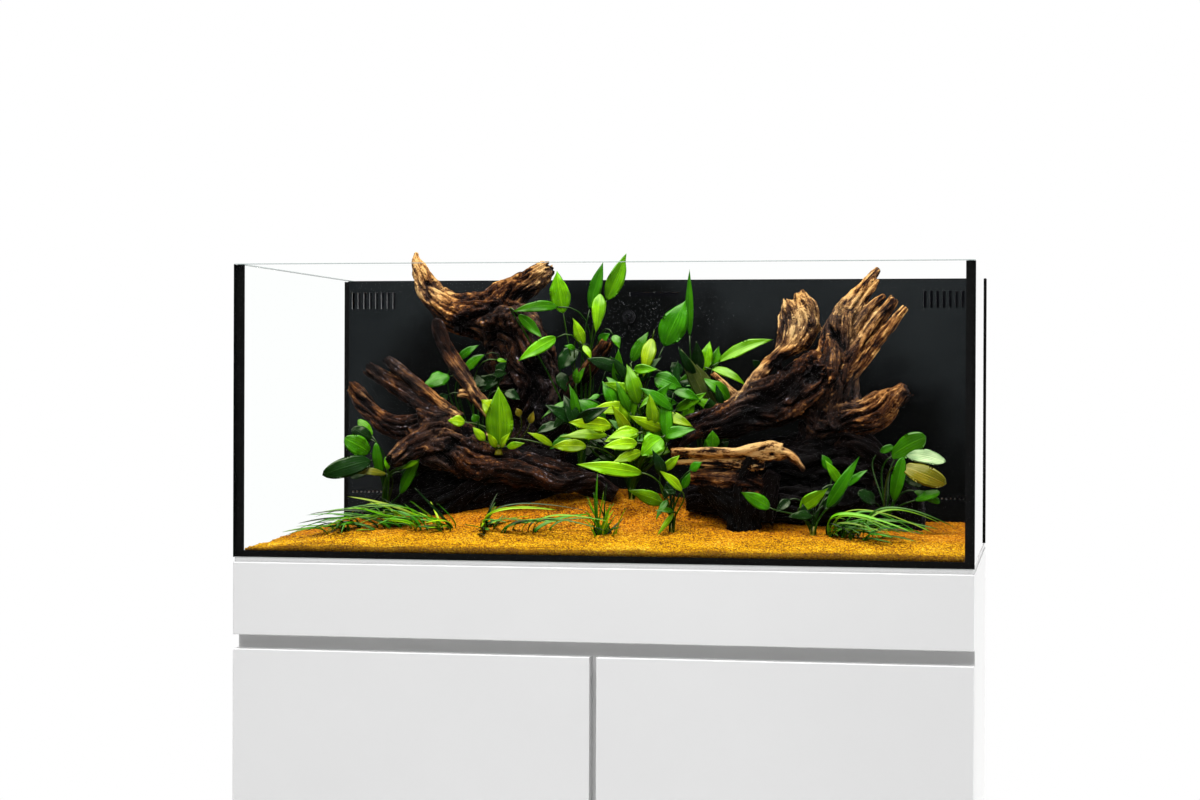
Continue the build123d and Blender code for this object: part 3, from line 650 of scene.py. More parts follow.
def makeSand():
    low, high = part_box("sand_bed")
    step = sandLook["step"] * mm
    columns, rows = round((high.x - low.x) / step), round((high.y - low.y) / step)
    xs, ys = np.linspace(low.x, high.x, columns + 1), np.linspace(low.y, high.y, rows + 1)
    gridX, gridY = np.meshgrid(xs, ys)
    heights = sandHeight(gridX, gridY)
    ripple = np.array([[rippled(x, y) for x in xs] for y in ys])
    grain = np.random.default_rng(sandLook["seed"]).normal(0, 1, heights.shape)
    fall = np.clip((gridX - sandLook["dipFrom"]) / (sandLook["dipTo"] - sandLook["dipFrom"]), 0, 1)
    heights = heights * (1 - sandLook["dip"] * eased(fall))
    heights = heights + (sandLook["ripple"] * ripple + sandLook["grain"] * grain) * mm
    heights = bedTop + np.maximum(heights, sandLook["least"] * mm)
    top = np.stack([gridX, gridY, heights], -1).reshape(-1, 3)
    wide = columns + 1
    corners = [r * wide + c for r in range(rows) for c in range(columns)]
    faces = [(a, a + 1, a + 1 + wide, a + wide) for a in corners]
    rim = list(range(columns)) + [columns + r * wide for r in range(rows)]
    rim += [rows * wide + c for c in range(columns, 0, -1)] + [r * wide for r in range(rows, 0, -1)]
    verts = [tuple(v) for v in top] + [(top[i][0], top[i][1], low.z) for i in rim]
    first = len(top)
    for i in range(len(rim)):
        after = (i + 1) % len(rim)
        faces.append((rim[after], rim[i], first + i, first + after))
    faces.append(tuple(range(first + len(rim) - 1, first - 1, -1)))
    sand = newPiece("goldenSand", verts, faces, smooth=True)
    settle(sand, sandMaterial(), "sand", "sand_bed")
    print("sand laid:", len(verts), "points")


def sandMaterial():
    material, tree, shader = newMaterial("goldenSand", (0.6, 0.3, 0.01), 0.8, 0.06)
    place = ownPlace(tree)
    grains = put(tree, "TexVoronoi", {"Vector": place, "Scale": 680.0})
    pick = join("SeparateColor", {0: grains["Color"]})[0]
    patch = cloudy(place, 16.0, detail=5.0)
    clump = cloudy(place, 110.0, detail=3.0)
    uneven = plus(times(pick, 0.88), spread(patch, 0.25, 0.75, -0.24, 0.22))
    tone = plus(uneven, spread(clump, 0.25, 0.75, -0.05, 0.09))
    base = ramp(tone, sandLook["tones"])
    back = spread(plus(parts(place)[1], between(patch, -0.05, 0.05)), -0.17, -0.07)  # painted shade, darker further back
    base = tinted(back, base, multiplied(base, sandLook["deep"]))
    # the sand's upright sides against the glass are painted dark, painted shade
    sideShade = below(normalParts(tree)[2], 0.2)
    colour = tinted(times(sideShade, 0.7), base, sandLook["sideShade"])
    grit = bumped(grains["Distance"], 0.7, 0.0012)
    paint(shader, colour=colour, rough=spread(pick, 0, 1, 0.55, 0.9), normal=grit)
    return material


# driftwood, limbs as (tone at foot, tone at tip, [x, y, height, radius] in millimetres) and hollows as
# (x, y, height, radius, depth); no limb runs along the reference; tones below zero paint the wood under
# the logs nearly black, which is painted shade

woodLook = dict(
    ringStep=2.2, sides=80, voxel=1.4, buried=5.0, thinnest=1.6, twist=4.0, reference=(0.3, 1.0, 0.15),
    lobe=0.13, split=0.42, crease=0.20, lump=0.20, knob=0.10, jag=0.9, fibre=0.8, chip=0.7,
    red=[(0.02, (0.003, 0.002, 0.002)), (0.25, (0.013, 0.006, 0.004)), (0.46, (0.046, 0.016, 0.007)),
        (0.64, (0.145, 0.055, 0.016)), (0.81, (0.35, 0.155, 0.045)), (0.93, (0.52, 0.25, 0.070)),
        (1.0, (0.68, 0.39, 0.13))],
    grey=[(0.02, (0.003, 0.003, 0.003)), (0.25, (0.016, 0.010, 0.009)), (0.46, (0.046, 0.028, 0.021)),
        (0.64, (0.12, 0.062, 0.030)), (0.81, (0.30, 0.165, 0.070)), (0.93, (0.50, 0.29, 0.11)),
        (1.0, (0.70, 0.46, 0.20))],
    paintedGlint=(0.46, 0.41, 0.46),
)

leftUpperRoot = dict(name="leftUpperRoot", node="left_upper_root", seed=2.0, limbs=[
    (-0.08, 0.36, [(-130, 80, 15, 32), (-135, 80, 118, 36), (-143, 82, 171, 38), (-152, 84, 225, 40),
        (-175, 87, 275, 41), (-207, 90, 295, 36), (-240, 92, 298, 28)]),
    (0.40, 0.80, [(-225, 91, 296, 31), (-256, 94, 302, 24), (-278, 98, 315, 18), (-296, 102, 336, 14),
        (-308, 105, 358, 10), (-314, 108, 373, 6), (-315, 110, 384, 3)]),
    (0.34, 0.64, [(-200, 89, 305, 27), (-170, 86, 329, 18), (-150, 82, 340, 15), (-132, 78, 354, 12),
        (-121, 75, 361, 8)]),
    (0.10, 0.42, [(-118, 74, 140, 15), (-86, 48, 198, 12), (-64, 34, 222, 10), (-47, 26, 243, 10),
        (-32, 20, 262, 9)]),
], hollows=[(-243, 64, 283, 11, 13)])
leftForkedLog = dict(name="leftForkedLog", node="left_forked_log", seed=7.5, limbs=[
    (0.10, 0.34, [(-15, -28, 62, 12), (-39, -30, 77, 14), (-84, -36, 85, 18), (-124, -36, 92, 21),
        (-163, -36, 101, 23), (-204, -34, 113, 28), (-244, -34, 130, 29), (-275, -30, 150, 20)]),
    (0.12, 0.44, [(-255, -30, 145, 21), (-305, -20, 150, 15), (-338, -12, 166, 12), (-357, -6, 184, 11),
        (-373, 0, 203, 8)]),
    (0.10, 0.32, [(-236, -26, 158, 17), (-269, -22, 179, 12), (-310, -16, 203, 10), (-348, -10, 225, 8)]),
    (0.66, 0.14, [(-226, -24, 156, 15), (-240, -23, 170, 10), (-282, -18, 205, 9), (-323, -14, 238, 7)]),
    (0.24, 0.30, [(-236, -34, 136, 22), (-256, -40, 133, 19), (-278, -58, 120, 16), (-293, -75, 110, 12),
        (-299, -82, 106, 8)]),
    (0.80, 0.12, [(-167, -30, 118, 11), (-180, -16, 163, 10), (-200, -8, 187, 9), (-227, -3, 224, 9),
        (-248, 2, 257, 8), (-257, 5, 282, 7), (-259, 5, 291, 4)]),
    (0.70, 0.75, [(-200, -8, 184, 7), (-212, -9, 192, 6), (-226, -12, 194, 5)]),
    # tones below zero: the leg and the limbs under the log are painted nearly black, painted shade
    (0.0, -0.2, [(-222, -20, 120, 20), (-240, 15, 70, 16), (-250, 40, 8, 14)]),
    (-0.2, -0.2, [(-345, -32, 26, 15), (-300, -6, 46, 24), (-255, -16, 52, 26), (-215, -20, 58, 26),
        (-170, -20, 64, 26), (-125, -15, 75, 23), (-95, -8, 84, 19)]),
    (-0.2, -0.2, [(-330, 12, 78, 20), (-263, 6, 92, 27), (-170, 10, 88, 30), (-95, 12, 90, 25)]),
], hollows=[])
rightRoot = dict(name="rightRoot", node="right_root", seed=4.2, limbs=[
    (0.14, 0.38, [(62, -25, 140, 10), (82, -22, 150, 14), (114, -16, 155, 17), (148, -8, 166, 22),
        (183, 0, 181, 26), (220, 8, 199, 32), (251, 16, 223, 33)]),
    (0.50, 0.72, [(138, -4, 174, 14), (150, 2, 193, 10), (166, 12, 217, 9), (191, 25, 242, 10),
        (221, 35, 263, 12), (236, 42, 284, 10)]),
    (0.60, 0.70, [(198, 34, 246, 12), (204, 40, 277, 14), (202, 46, 296, 13), (200, 50, 315, 7)]),
    (0.60, 0.75, [(215, 36, 255, 16), (224, 45, 298, 18), (216, 52, 325, 8)]),
    (0.12, 0.60, [(264, 18, 148, 33), (264, 20, 200, 28), (265, 25, 245, 22), (267, 30, 277, 19),
        (275, 36, 303, 13)]),
    (0.55, 0.75, [(270, 32, 280, 15), (276, 36, 303, 12), (296, 44, 329, 9), (317, 50, 356, 4)]),
    (0.50, 0.70, [(272, 30, 282, 11), (298, 40, 318, 7), (315, 46, 342, 4)]),
    (0.45, 0.65, [(278, 28, 266, 10), (305, 34, 303, 7), (325, 40, 321, 4)]),
    (0.45, 0.70, [(270, 24, 230, 16), (289, 24, 251, 11), (315, 32, 287, 9), (340, 38, 317, 6)]),
    (0.45, 0.75, [(262, 20, 205, 16), (293, 20, 233, 9), (323, 28, 270, 7), (352, 35, 305, 4)]),
    (0.25, 0.60, [(235, 12, 160, 25), (252, 10, 155, 24), (278, 4, 161, 21), (308, 0, 167, 19),
        (336, -3, 185, 16), (356, -5, 201, 10)]),
    # these two legs fall below zero tone towards the sand, painted shade
    (0.15, -0.15, [(262, 20, 160, 33), (250, 28, 100, 32), (246, 32, 8, 29)]),
    (0.05, -0.10, [(255, 16, 140, 21), (284, 10, 136, 19), (323, 2, 113, 16), (349, -2, 86, 14),
        (364, -6, 54, 13), (368, -8, 15, 12)]),
    (0.85, 0.60, [(102, 40, 220, 4), (121, 35, 204, 5), (142, 25, 184, 6), (160, 14, 170, 8)]),
    (0.30, 0.15, [(88, -26, 152, 6), (70, -34, 146, 4), (58, -38, 138, 2.5)]),
    (0.30, 0.15, [(90, -20, 144, 7), (72, -26, 132, 5), (56, -30, 124, 3)]),
    (0.30, 0.15, [(96, -28, 146, 6), (82, -38, 138, 4), (72, -44, 126, 2.5)]),
    # limbs under the root at tone -0.2, painted nearly black as painted shade
    (-0.2, -0.2, [(84, -36, 64, 18), (130, -40, 60, 22), (180, -34, 56, 24), (230, -30, 54, 24),
        (290, -12, 50, 24), (340, 8, 44, 21), (368, 12, 28, 14)]),
    (-0.2, -0.2, [(97, 2, 84, 22), (172, 12, 98, 30), (247, 16, 104, 34), (312, 14, 88, 27)]),
], hollows=[(140, -30, 150, 9, 5), (161, -30, 168, 10, 8), (181, -28, 186, 11, 10), (209, -24, 204, 12, 11),
    (237, -18, 222, 11, 10), (196, 10, 232, 12, 12)])
frontLog = dict(name="frontLog", node="front_log", seed=9.1, limbs=[
    (0.97, 1.04, [(69, -92, 121, 5.5), (118, -92, 122, 6), (150, -90, 121, 6.5), (170, -88, 123, 9),
        (192, -86, 123, 10), (208, -86, 122, 8)]),
    (0.95, 0.45, [(200, -86, 122, 8), (215, -86, 119, 6), (226, -87, 112, 4.5), (235, -88, 100, 3)]),
    (0.89, 0.94, [(70, -86, 110, 4.5), (124, -86, 109, 5), (160, -84, 106, 6), (184, -82, 105, 7)]),
    (0.58, 0.30, [(92, -86, 92, 8), (117, -82, 90, 11), (154, -76, 89, 15), (178, -70, 76, 14)]),
    # the stump under the front log, painted nearly black as painted shade
    (0.0, -0.25, [(174, -85, 121, 7), (168, -80, 106, 11), (160, -74, 88, 15), (158, -68, 62, 20),
        (157, -62, 6, 23)]),
    (0.0, -0.2, [(104, -78, 84, 9), (128, -72, 68, 16), (150, -66, 48, 22)]),
    (0.0, -0.2, [(196, -74, 96, 9), (186, -70, 70, 15), (176, -66, 44, 20)]),
], hollows=[])


def limbRun(stations):
    # a smooth run of (x, y, z, radius) through the stations
    points = np.array(stations, float) * mm
    points[:, 2] += bedTop
    ends = np.vstack([2 * points[0] - points[1], points, 2 * points[-1] - points[-2]])
    run = []
    for p0, p1, p2, p3 in zip(ends, ends[1:], ends[2:], ends[3:]):
        count = max(2, round(np.linalg.norm(p2[:3] - p1[:3]) / (woodLook["ringStep"] * mm)))
        square, cube = 2 * p0 - 5 * p1 + 4 * p2 - p3, 3 * p1 - p0 - 3 * p2 + p3
        for t in np.arange(count) / count:
            run.append(0.5 * (2 * p1 + (p2 - p0) * t + square * t**2 + cube * t**3))
    run.append(points[-1])
    run = np.array(run)
    run[:, 3] = np.maximum(run[:, 3], woodLook["thinnest"] * mm)
    return run


def ridged(place):
    return 2.2 * abs(noise.noise(place)) - 0.45


def cracked(place, width):
    return max(0.0, 1 - abs(noise.noise(place)) / width)


def growLimb(wood, stations, tones, seed):
    run = limbRun(stations)
    along = np.gradient(run[:, :3], axis=0)
    along /= np.linalg.norm(along, axis=1)[:, None]
    gone = np.concatenate([[0], np.cumsum(np.linalg.norm(np.diff(run[:, :3], axis=0), axis=1))])
    side = Vector(along[0]).cross(Vector(woodLook["reference"])).normalized()
    sides = woodLook["sides"]
    first = len(wood["verts"])
    for i, row in enumerate(run):
        ahead, middle, radius, far = Vector(along[i]), Vector(row[:3]), row[3], gone[i]
        side = (side - ahead * side.dot(ahead)).normalized()
        other = ahead.cross(side)
        tone = tones[0] + (tones[1] - tones[0]) * (far / gone[-1])
        nearTip = max(0.0, 1 - (gone[-1] - far) / (2.2 * radius))
        wander = 0.9 * noise.noise((seed, 0.0, 18 * far))  # cracks wander round the limb
        for k in range(sides):
            angle = 2 * math.pi * k / sides
            c, s = math.cos(angle), math.sin(angle)
            turned = angle + woodLook["twist"] * far + wander
            tc, ts = math.cos(turned), math.sin(turned)
            lobe = math.cos(2 * turned + seed + 13 * far) + 0.8 * math.cos(3 * turned - 1.7 * seed)
            relief = 0.10 - woodLook["split"] * cracked((1.5 * tc + seed, 1.5 * ts, 11 * far), 0.13)
            relief -= woodLook["crease"] * cracked((4.0 * tc, 4.0 * ts + seed, 19 * far), 0.2)
            outward = side * c + other * s
            lump = noise.noise(middle * 34 + outward * 0.8)
            knob = noise.noise((middle + outward * radius) * 95)
            swell = 1 + woodLook["lobe"] * lobe + relief + woodLook["lump"] * lump + woodLook["knob"] * knob
            swell = radius * max(0.25, swell)
            jag = woodLook["jag"] * radius * nearTip * noise.noise((3.2 * c, 3.2 * s, seed))
            wood["verts"].append(middle + outward * swell + ahead * jag)
            wood["grain"].append((tc * swell, ts * swell, far + 3.1 * seed))
            wood["tone"].append(tone)
            wood["relief"].append(relief)
    wood["faces"].extend(closedTube(first, len(run), sides))


def woodSkin(wood, name):
    # one skin over the limbs that run into each other
    rough = newPiece(name + "Rough", wood["verts"], wood["faces"])
    skin = rough.modifiers.new("skin", "REMESH")
    skin.mode = "VOXEL"
    skin.voxel_size = woodLook["voxel"] * mm
    evaluated = rough.evaluated_get(bpy.context.evaluated_depsgraph_get())
    mesh = bpy.data.meshes.new_from_object(evaluated)
    mesh.name = name
    mesh.materials.clear()
    bpy.data.objects.remove(rough)
    return mesh


def makeWood(shape, material):
    name, seed = shape["name"], shape["seed"]
    wood = dict(verts=[], faces=[], grain=[], tone=[], relief=[])
    for i, (footTone, tipTone, stations) in enumerate(shape["limbs"]):
        growLimb(wood, stations, (footTone, tipTone), seed + 1.37 * i)
    mesh = woodSkin(wood, name)
    finder = kdtree.KDTree(len(wood["verts"]))
    for i, vert in enumerate(wood["verts"]):
        finder.insert(vert, i)
    finder.balance()
    nearest = [finder.find(v.co)[1] for v in mesh.vertices]
    looks = {key: np.array(wood[key])[nearest] for key in ("grain", "tone", "relief")}
    normals = [v.normal.copy() for v in mesh.vertices]
    for i, (vert, normal, (u, v, w)) in enumerate(zip(mesh.vertices, normals, looks["grain"])):
        fibre = ridged((u * 300, v * 300, w * 34))
        chip = noise.noise((u * 170, v * 170, w * 90 + seed))
        looks["relief"][i] += 0.12 * fibre + 0.10 * chip
        vert.co += normal * (mm * (woodLook["fibre"] * fibre + woodLook["chip"] * chip))
        # each hollow sinks the skin and lowers the tone there, painted shade in the hollow
        for x, y, z, radius, depth in shape["hollows"]:
            near = math.exp(-(((vert.co - aboveBed((x, y, z))).length / (radius * mm)) ** 2))
            vert.co -= normal * (near * depth * mm)
            looks["tone"][i] -= 1.3 * near
        vert.co.z = max(vert.co.z, sandTop(vert.co) - woodLook["buried"] * mm)
    mesh.shade_smooth()
    piece = linked(name, mesh)
    for key, kind in (("grain", "FLOAT_VECTOR"), ("tone", "FLOAT"), ("relief", "FLOAT")):
        tag(piece, key, kind, looks[key])
    settle(piece, material, "driftwood", shape["node"])
    print(name, "grown:", len(mesh.vertices), "points")


def woodMaterial():
    material, tree, shader = newMaterial("wetDriftwood", (0.05, 0.03, 0.02), 0.5, 0.025)
    grain = carried(tree, "grain")
    tone = carried(tree, "tone", "Fac")
    place = ownPlace(tree)
    upward = normalParts(tree, "Normal")[2]
    fibres = cloudy(stretched(grain, (1, 1, 0.06)), 760.0, detail=7.0, rough=0.7)
    bands = cloudy(stretched(grain, (1, 1, 0.14)), 150.0, detail=5.0)
    patch = cloudy(place, 40.0, detail=6.0, rough=0.6)
    # uneven: the relief darkens the cracks, painted shade, and lightens the ridges; faces turned up are
    # painted lighter, painted light from above
    uneven = plus(
        times(carried(tree, "relief", "Fac"), 1.6), spread(fibres, 0.28, 0.72, -0.52, 0.46),
        spread(bands, 0.25, 0.75, -0.40, 0.36), spread(patch, 0.25, 0.75, -0.42, 0.34), times(upward, 0.16),
    )
    gain = plus(  # the paler the wood, the stronger its streaks
        spread(tone, -0.15, 0.4, 0.10, 0.85), spread(tone, 0.5, 0.9, 0.0, 0.40),
        spread(tone, 0.84, 0.92, 0.0, 0.7),
    )
    lit = plus(tone, times(uneven, gain))
    hue = spread(cloudy(place, 11.0, detail=3.0), 0.45, 0.62)
    colour = tinted(hue, ramp(lit, woodLook["red"]), ramp(lit, woodLook["grey"]))
    # painted glints: pale specks on the upward faces of the darker wood, a painted highlight of wet wood
    glintSpecks = spread(cloudy(stretched(grain, (1, 1, 0.45)), 330.0), 0.60, 0.70)
    glintMask = times(
        spread(tone, 0.12, 0.5, 0.9, 0.0), spread(upward, -0.1, 0.6),
        spread(patch, 0.46, 0.58), spread(tone, 0.02, 0.10),
    )
    colour = tinted(times(glintSpecks, glintMask), colour, woodLook["paintedGlint"])
    height = plus(times(fibres, 0.8), times(bands, 0.8))
    paint(shader, colour=colour, rough=spread(lit, 0.1, 0.8, 0.3, 0.7), normal=bumped(height, 1.0, 0.003))
    return material


def makeDriftwood():
    material = woodMaterial()
    for shape in (leftUpperRoot, leftForkedLog, rightRoot, frontLog):
        makeWood(shape, material)


# plants, leaves as (foot, tip, width, tint, arch) in millimetres, arch as a share of the length where it
# isn't the usual one, and thickets as (count, span in x, span in y, span in height, tints)

leafTints = dict(
    fresh=(0.15, 0.45, 0.004),
    green=(0.048, 0.25, 0.003),
    deep=(0.007, 0.036, 0.004),
    lime=(0.32, 0.60, 0.006),
    russet=(0.080, 0.095, 0.018),
    pale=(0.34, 0.50, 0.24),
    olive=(0.20, 0.19, 0.012),
)
leafLook = dict(
    along=18, across=8, thick=0.5, arch=0.10, fold=0.34, lean=0.5, wave=0.05, twist=0.8,
    stemFoot=1.4, stemTip=0.8, facing=(0.15, -1.0, 0.3), outline=(0.8, 1.2),
    sheenSide=(-0.1, -0.68, 0.73), seeThrough=0.2,
)

upperSword = dict(name="upperSword", node="upper_sword", root=(-70, 40), fill=3, leaves=[
    ((-57, 22, 304), (-40, 25, 366), 18, "green", 0.05),
    ((-37, 35, 316), (-12, 40, 378), 23, "fresh", 0.06),
    ((-43, 18, 325), (-46, 5, 272), 19, "fresh", 0.12),
    ((-93, 25, 299), (-102, 22, 355), 28, "fresh", 0.08),
    ((-98, 20, 307), (-157, 5, 300), 15, "green", 0.22),
    ((-149, 4, 297), (-116, 0, 266), 15, "green", -0.10),
    ((-99, 12, 267), (-147, -8, 235), 18, "fresh", 0.14),
    ((-63, 15, 257), (-77, 10, 292), 15, "lime"),
    ((-63, 8, 256), (-50, 0, 237), 9, "lime"),
    ((-75, 35, 252), (-100, 30, 224), 26, "deep"),
    ((-75, 22, 206), (-73, 18, 228), 9, "green"),
    ((-74, 22, 206), (-62, 18, 228), 9, "green"),
    ((-76, 20, 252), (-89, 12, 256), 8, "green"),
    ((-38, 35, 223), (-31, 35, 243), 8, "green"),
    ((-100, 40, 222), (-91, 36, 195), 18, "deep"),
    ((-44, 22, 258), (-28, 12, 272), 16, "green", 0.14),
    ((-26, 24, 270), (-16, 14, 252), 12, "green", 0.14),
])
centreSword = dict(name="centreSword", node="centre_sword", root=(6, -15), fill=9, thicket=[
    (24, (-22, 62), (-24, 10), (118, 226), ("deep", "green", "green", "fresh")),
    (14, (-8, 62), (-46, -22), (112, 190), ("fresh", "green", "lime")),
    (7, (-85, -35), (-48, -26), (120, 165), ("green", "deep", "lime")),
], leaves=[
    ((42, 18, 256), (69, 26, 316), 36, "green"),
    ((1, 10, 235), (22, 14, 275), 17, "green", 0.08),
    ((29, 4, 266), (20, -14, 214), 19, "lime", 0.16),
    ((4, -8, 224), (10, -20, 184), 18, "fresh", 0.12),
    ((3, -28, 155), (-5, -30, 184), 16, "lime", 0.08),
    ((50, -20, 127), (37, -24, 183), 27, "fresh"),
    ((34, -5, 215), (72, -15, 201), 25, "green", 0.14),
    ((-27, -22, 158), (-70, -30, 188), 23, "green", 0.12),
    ((-64, -20, 184), (-109, -45, 160), 9, "green", 0.16),
    ((-15, -38, 152), (-70, -55, 157), 20, "lime"),
    ((-20, -45, 140), (-80, -62, 138), 15, "lime", 0.12),
    ((21, -45, 145), (-21, -66, 132), 22, "lime", 0.14),
    ((26, -58, 120), (-10, -78, 106), 15, "lime", 0.12),
    ((51, -50, 138), (26, -62, 115), 30, "fresh", 0.16),
    ((-6, 5, 219), (-21, 0, 223), 9, "green"),
    ((22, 12, 227), (3, 5, 223), 10, "pale"),
    ((41, -10, 196), (16, -22, 174), 10, "fresh"),
    ((55, -38, 131), (49, -25, 201), 17, "green"),
    ((1, -32, 156), (-5, -38, 182), 12, "lime"),
    ((3, -30, 156), (5, -34, 186), 10, "fresh"),
    ((20, -28, 152), (9, -24, 174), 10, "deep"),
    ((-77, -15, 174), (-97, -25, 144), 13, "deep"),
    ((21, -58, 144), (-16, -68, 136), 13, "lime"),
    ((22, -62, 131), (-21, -74, 126), 17, "lime"),
    ((-88, -18, 153), (-118, -26, 142), 15, "deep"),
    ((-38, -4, 192), (-56, -6, 183), 8, "green"),
    ((20, 0, 192), (40, 0, 179), 18, "deep"),
    ((-17, -10, 166), (-32, -8, 180), 15, "deep"),
    ((-45, -36, 162), (-63, -44, 150), 15, "green"),
])
rightSword = dict(name="rightSword", node="right_sword", root=(92, 36), fill=6, thicket=[
    (10, (58, 128), (8, 34), (150, 225), ("deep", "deep", "green", "fresh")),
], leaves=[
    ((71, 50, 268), (70, 54, 358), 11, "green", 0.03),
    ((98, 22, 179), (64, 14, 253), 20, "russet"),
    ((110, 28, 178), (84, 20, 233), 17, "russet", 0.08),
    ((92, 34, 224), (99, 38, 263), 18, "fresh", 0.08),
    ((103, 40, 228), (110, 44, 256), 13, "green", 0.08),
    ((69, 10, 151), (85, 6, 190), 14, "fresh", 0.06),
    ((111, 38, 235), (183, 34, 265), 19, "fresh"),
    ((103, 30, 226), (151, 12, 204), 13, "fresh", 0.20),
    ((116, -52, 124), (116, -56, 148), 18, "green", 0.06),
    ((119, 15, 176), (111, 12, 207), 10, "deep"),
    ((104, 8, 171), (104, 6, 189), 17, "deep"),
    ((88, 12, 173), (78, 10, 196), 15, "deep"),
    ((75, 8, 188), (60, 4, 201), 13, "green"),
    ((165, 35, 230), (156, 30, 238), 10, "deep"),
    ((61, 30, 217), (50, 32, 235), 18, "deep"),
    ((87, 34, 222), (79, 36, 248), 12, "green"),
])
leftBroad = dict(name="leftBroad", node="left_broad_plant", root=(-318, -35), fill=3,
    outline=(0.6, 0.6), leaves=[
    ((-336, -45, 116), (-365, -62, 134), 26, "green", 0.12),
    ((-329, -58, 106), (-387, -86, 87), 26, "deep", 0.14),
    ((-337, -28, 137), (-358, -22, 158), 14, "fresh", 0.08),
    ((-310, -52, 88), (-362, -68, 94), 11, "olive", 0.06),
    ((-307, -58, 94), (-309, -60, 111), 8, "fresh"),
    ((-293, -60, 97), (-265, -64, 105), 9, "fresh"),
    ((-335, -35, 132), (-361, -40, 147), 20, "deep"),
    ((-296, -60, 94), (-273, -64, 110), 13, "green"),
    ((-332, -45, 96), (-360, -50, 83), 15, "deep"),
])
backSword = dict(name="backSword", node="back_sword", root=(-210, 48), fill=6, leaves=[
    ((-250, 42, 216), (-284, 30, 201), 24, "green", 0.12),
    ((-241, 50, 238), (-212, 50, 258), 12, "green", 0.18),
    ((-232, 46, 222), (-202, 40, 245), 14, "green", 0.16),
    ((-188, 52, 216), (-174, 50, 240), 14, "deep"),
    ((-226, 56, 200), (-179, 58, 214), 22, "deep"),
    ((-186, 42, 238), (-172, 40, 235), 6, "fresh"),
    ((-191, 46, 219), (-172, 42, 220), 12, "deep"),
    ((-204, 48, 244), (-231, 42, 228), 13, "deep"),
    ((-225, 50, 211), (-200, 46, 204), 19, "deep"),
    ((-154, 42, 163), (-159, 40, 174), 10, "olive"),
    ((-141, 42, 153), (-136, 40, 170), 9, "olive"),
    ((-176, 48, 195), (-155, 46, 185), 15, "deep"),
    ((-253, 42, 191), (-268, 38, 181), 13, "deep"),
])
logSword = dict(name="logSword", node="log_sword", root=(-163, -46), height=121, fill=0, leaves=[
    ((-161, -48, 124), (-162, -52, 203), 36, "fresh", 0.07),
    ((-164, -54, 124), (-174, -64, 143), 10, "lime", 0.08),
    ((-158, -54, 124), (-143, -64, 144), 10, "lime", 0.08),
    ((-150, -54, 125), (-124, -66, 130), 10, "lime", 0.12),
    ((-180, -50, 132), (-196, -52, 150), 12, "lime"),
    ((-166, -45, 167), (-186, -47, 185), 22, "lime"),
    ((-193, -42, 156), (-198, -44, 167), 12, "green"),
    ((-209, -40, 156), (-230, -48, 158), 15, "lime"),
    ((-93, -40, 126), (-124, -55, 144), 10, "lime"),
])
frontSword = dict(name="frontSword", node="front_sword", root=(72, -104), fill=2, leaves=[
    ((36, -108, 95), (-45, -130, 106), 18, "lime", 0.08),
    ((64, -110, 58), (21, -130, 75), 18, "fresh"),
    ((86, -112, 73), (59, -124, 99), 12, "lime"),
    ((76, -110, 47), (57, -128, 18), 7, "lime", 0.06),
    ((86, -106, 76), (96, -110, 97), 10, "green", 0.08),
    ((76, -112, 47), (54, -124, 49), 8, "green"),
    ((68, -110, 62), (55, -122, 37), 9, "green"),
    ((95, -105, 99), (111, -110, 110), 12, "green"),
    ((72, -100, 86), (63, -108, 62), 13, "deep"),
    ((61, -100, 99), (82, -104, 118), 12, "lime"),
])
rightBroad = dict(name="rightBroad", node="right_broad_plant", root=(334, -40), fill=2,
    outline=(0.65, 0.5), leaves=[
    ((339, -35, 116), (384, -50, 142), 28, "green", 0.12),
    ((359, -46, 119), (409, -66, 111), 20, "pale"),
    ((354, -55, 105), (410, -75, 84), 25, "olive"),
    ((369, -46, 74), (402, -62, 60), 11, "green", 0.12),
    ((371, -62, 63), (402, -70, 74), 13, "green"),
    ((324, -15, 121), (341, -18, 129), 10, "green"),
    ((358, -50, 90), (379, -55, 81), 13, "deep"),
])
rightLow = dict(name="rightLow", node="right_low_plant", root=(247, -90), fill=3, leaves=[
    ((230, -92, 53), (267, -104, 79), 18, "fresh", 0.08),
    ((196, -106, 53), (160, -116, 73), 18, "green"),
    ((247, -95, 44), (218, -112, 43), 13, "deep"),
    ((281, -74, 82), (261, -82, 113), 12, "fresh"),
    ((266, -70, 100), (256, -72, 119), 13, "green"),
    ((246, -90, 63), (232, -98, 44), 15, "deep"),
    ((286, -75, 80), (314, -78, 101), 10, "green"),
    ((218, -90, 63), (202, -100, 48), 13, "deep"),
])


def leafOutline(u, foot, tip):
    widest = foot / (foot + tip)
    return (u / widest) ** foot * ((1 - u) / (1 - widest)) ** tip


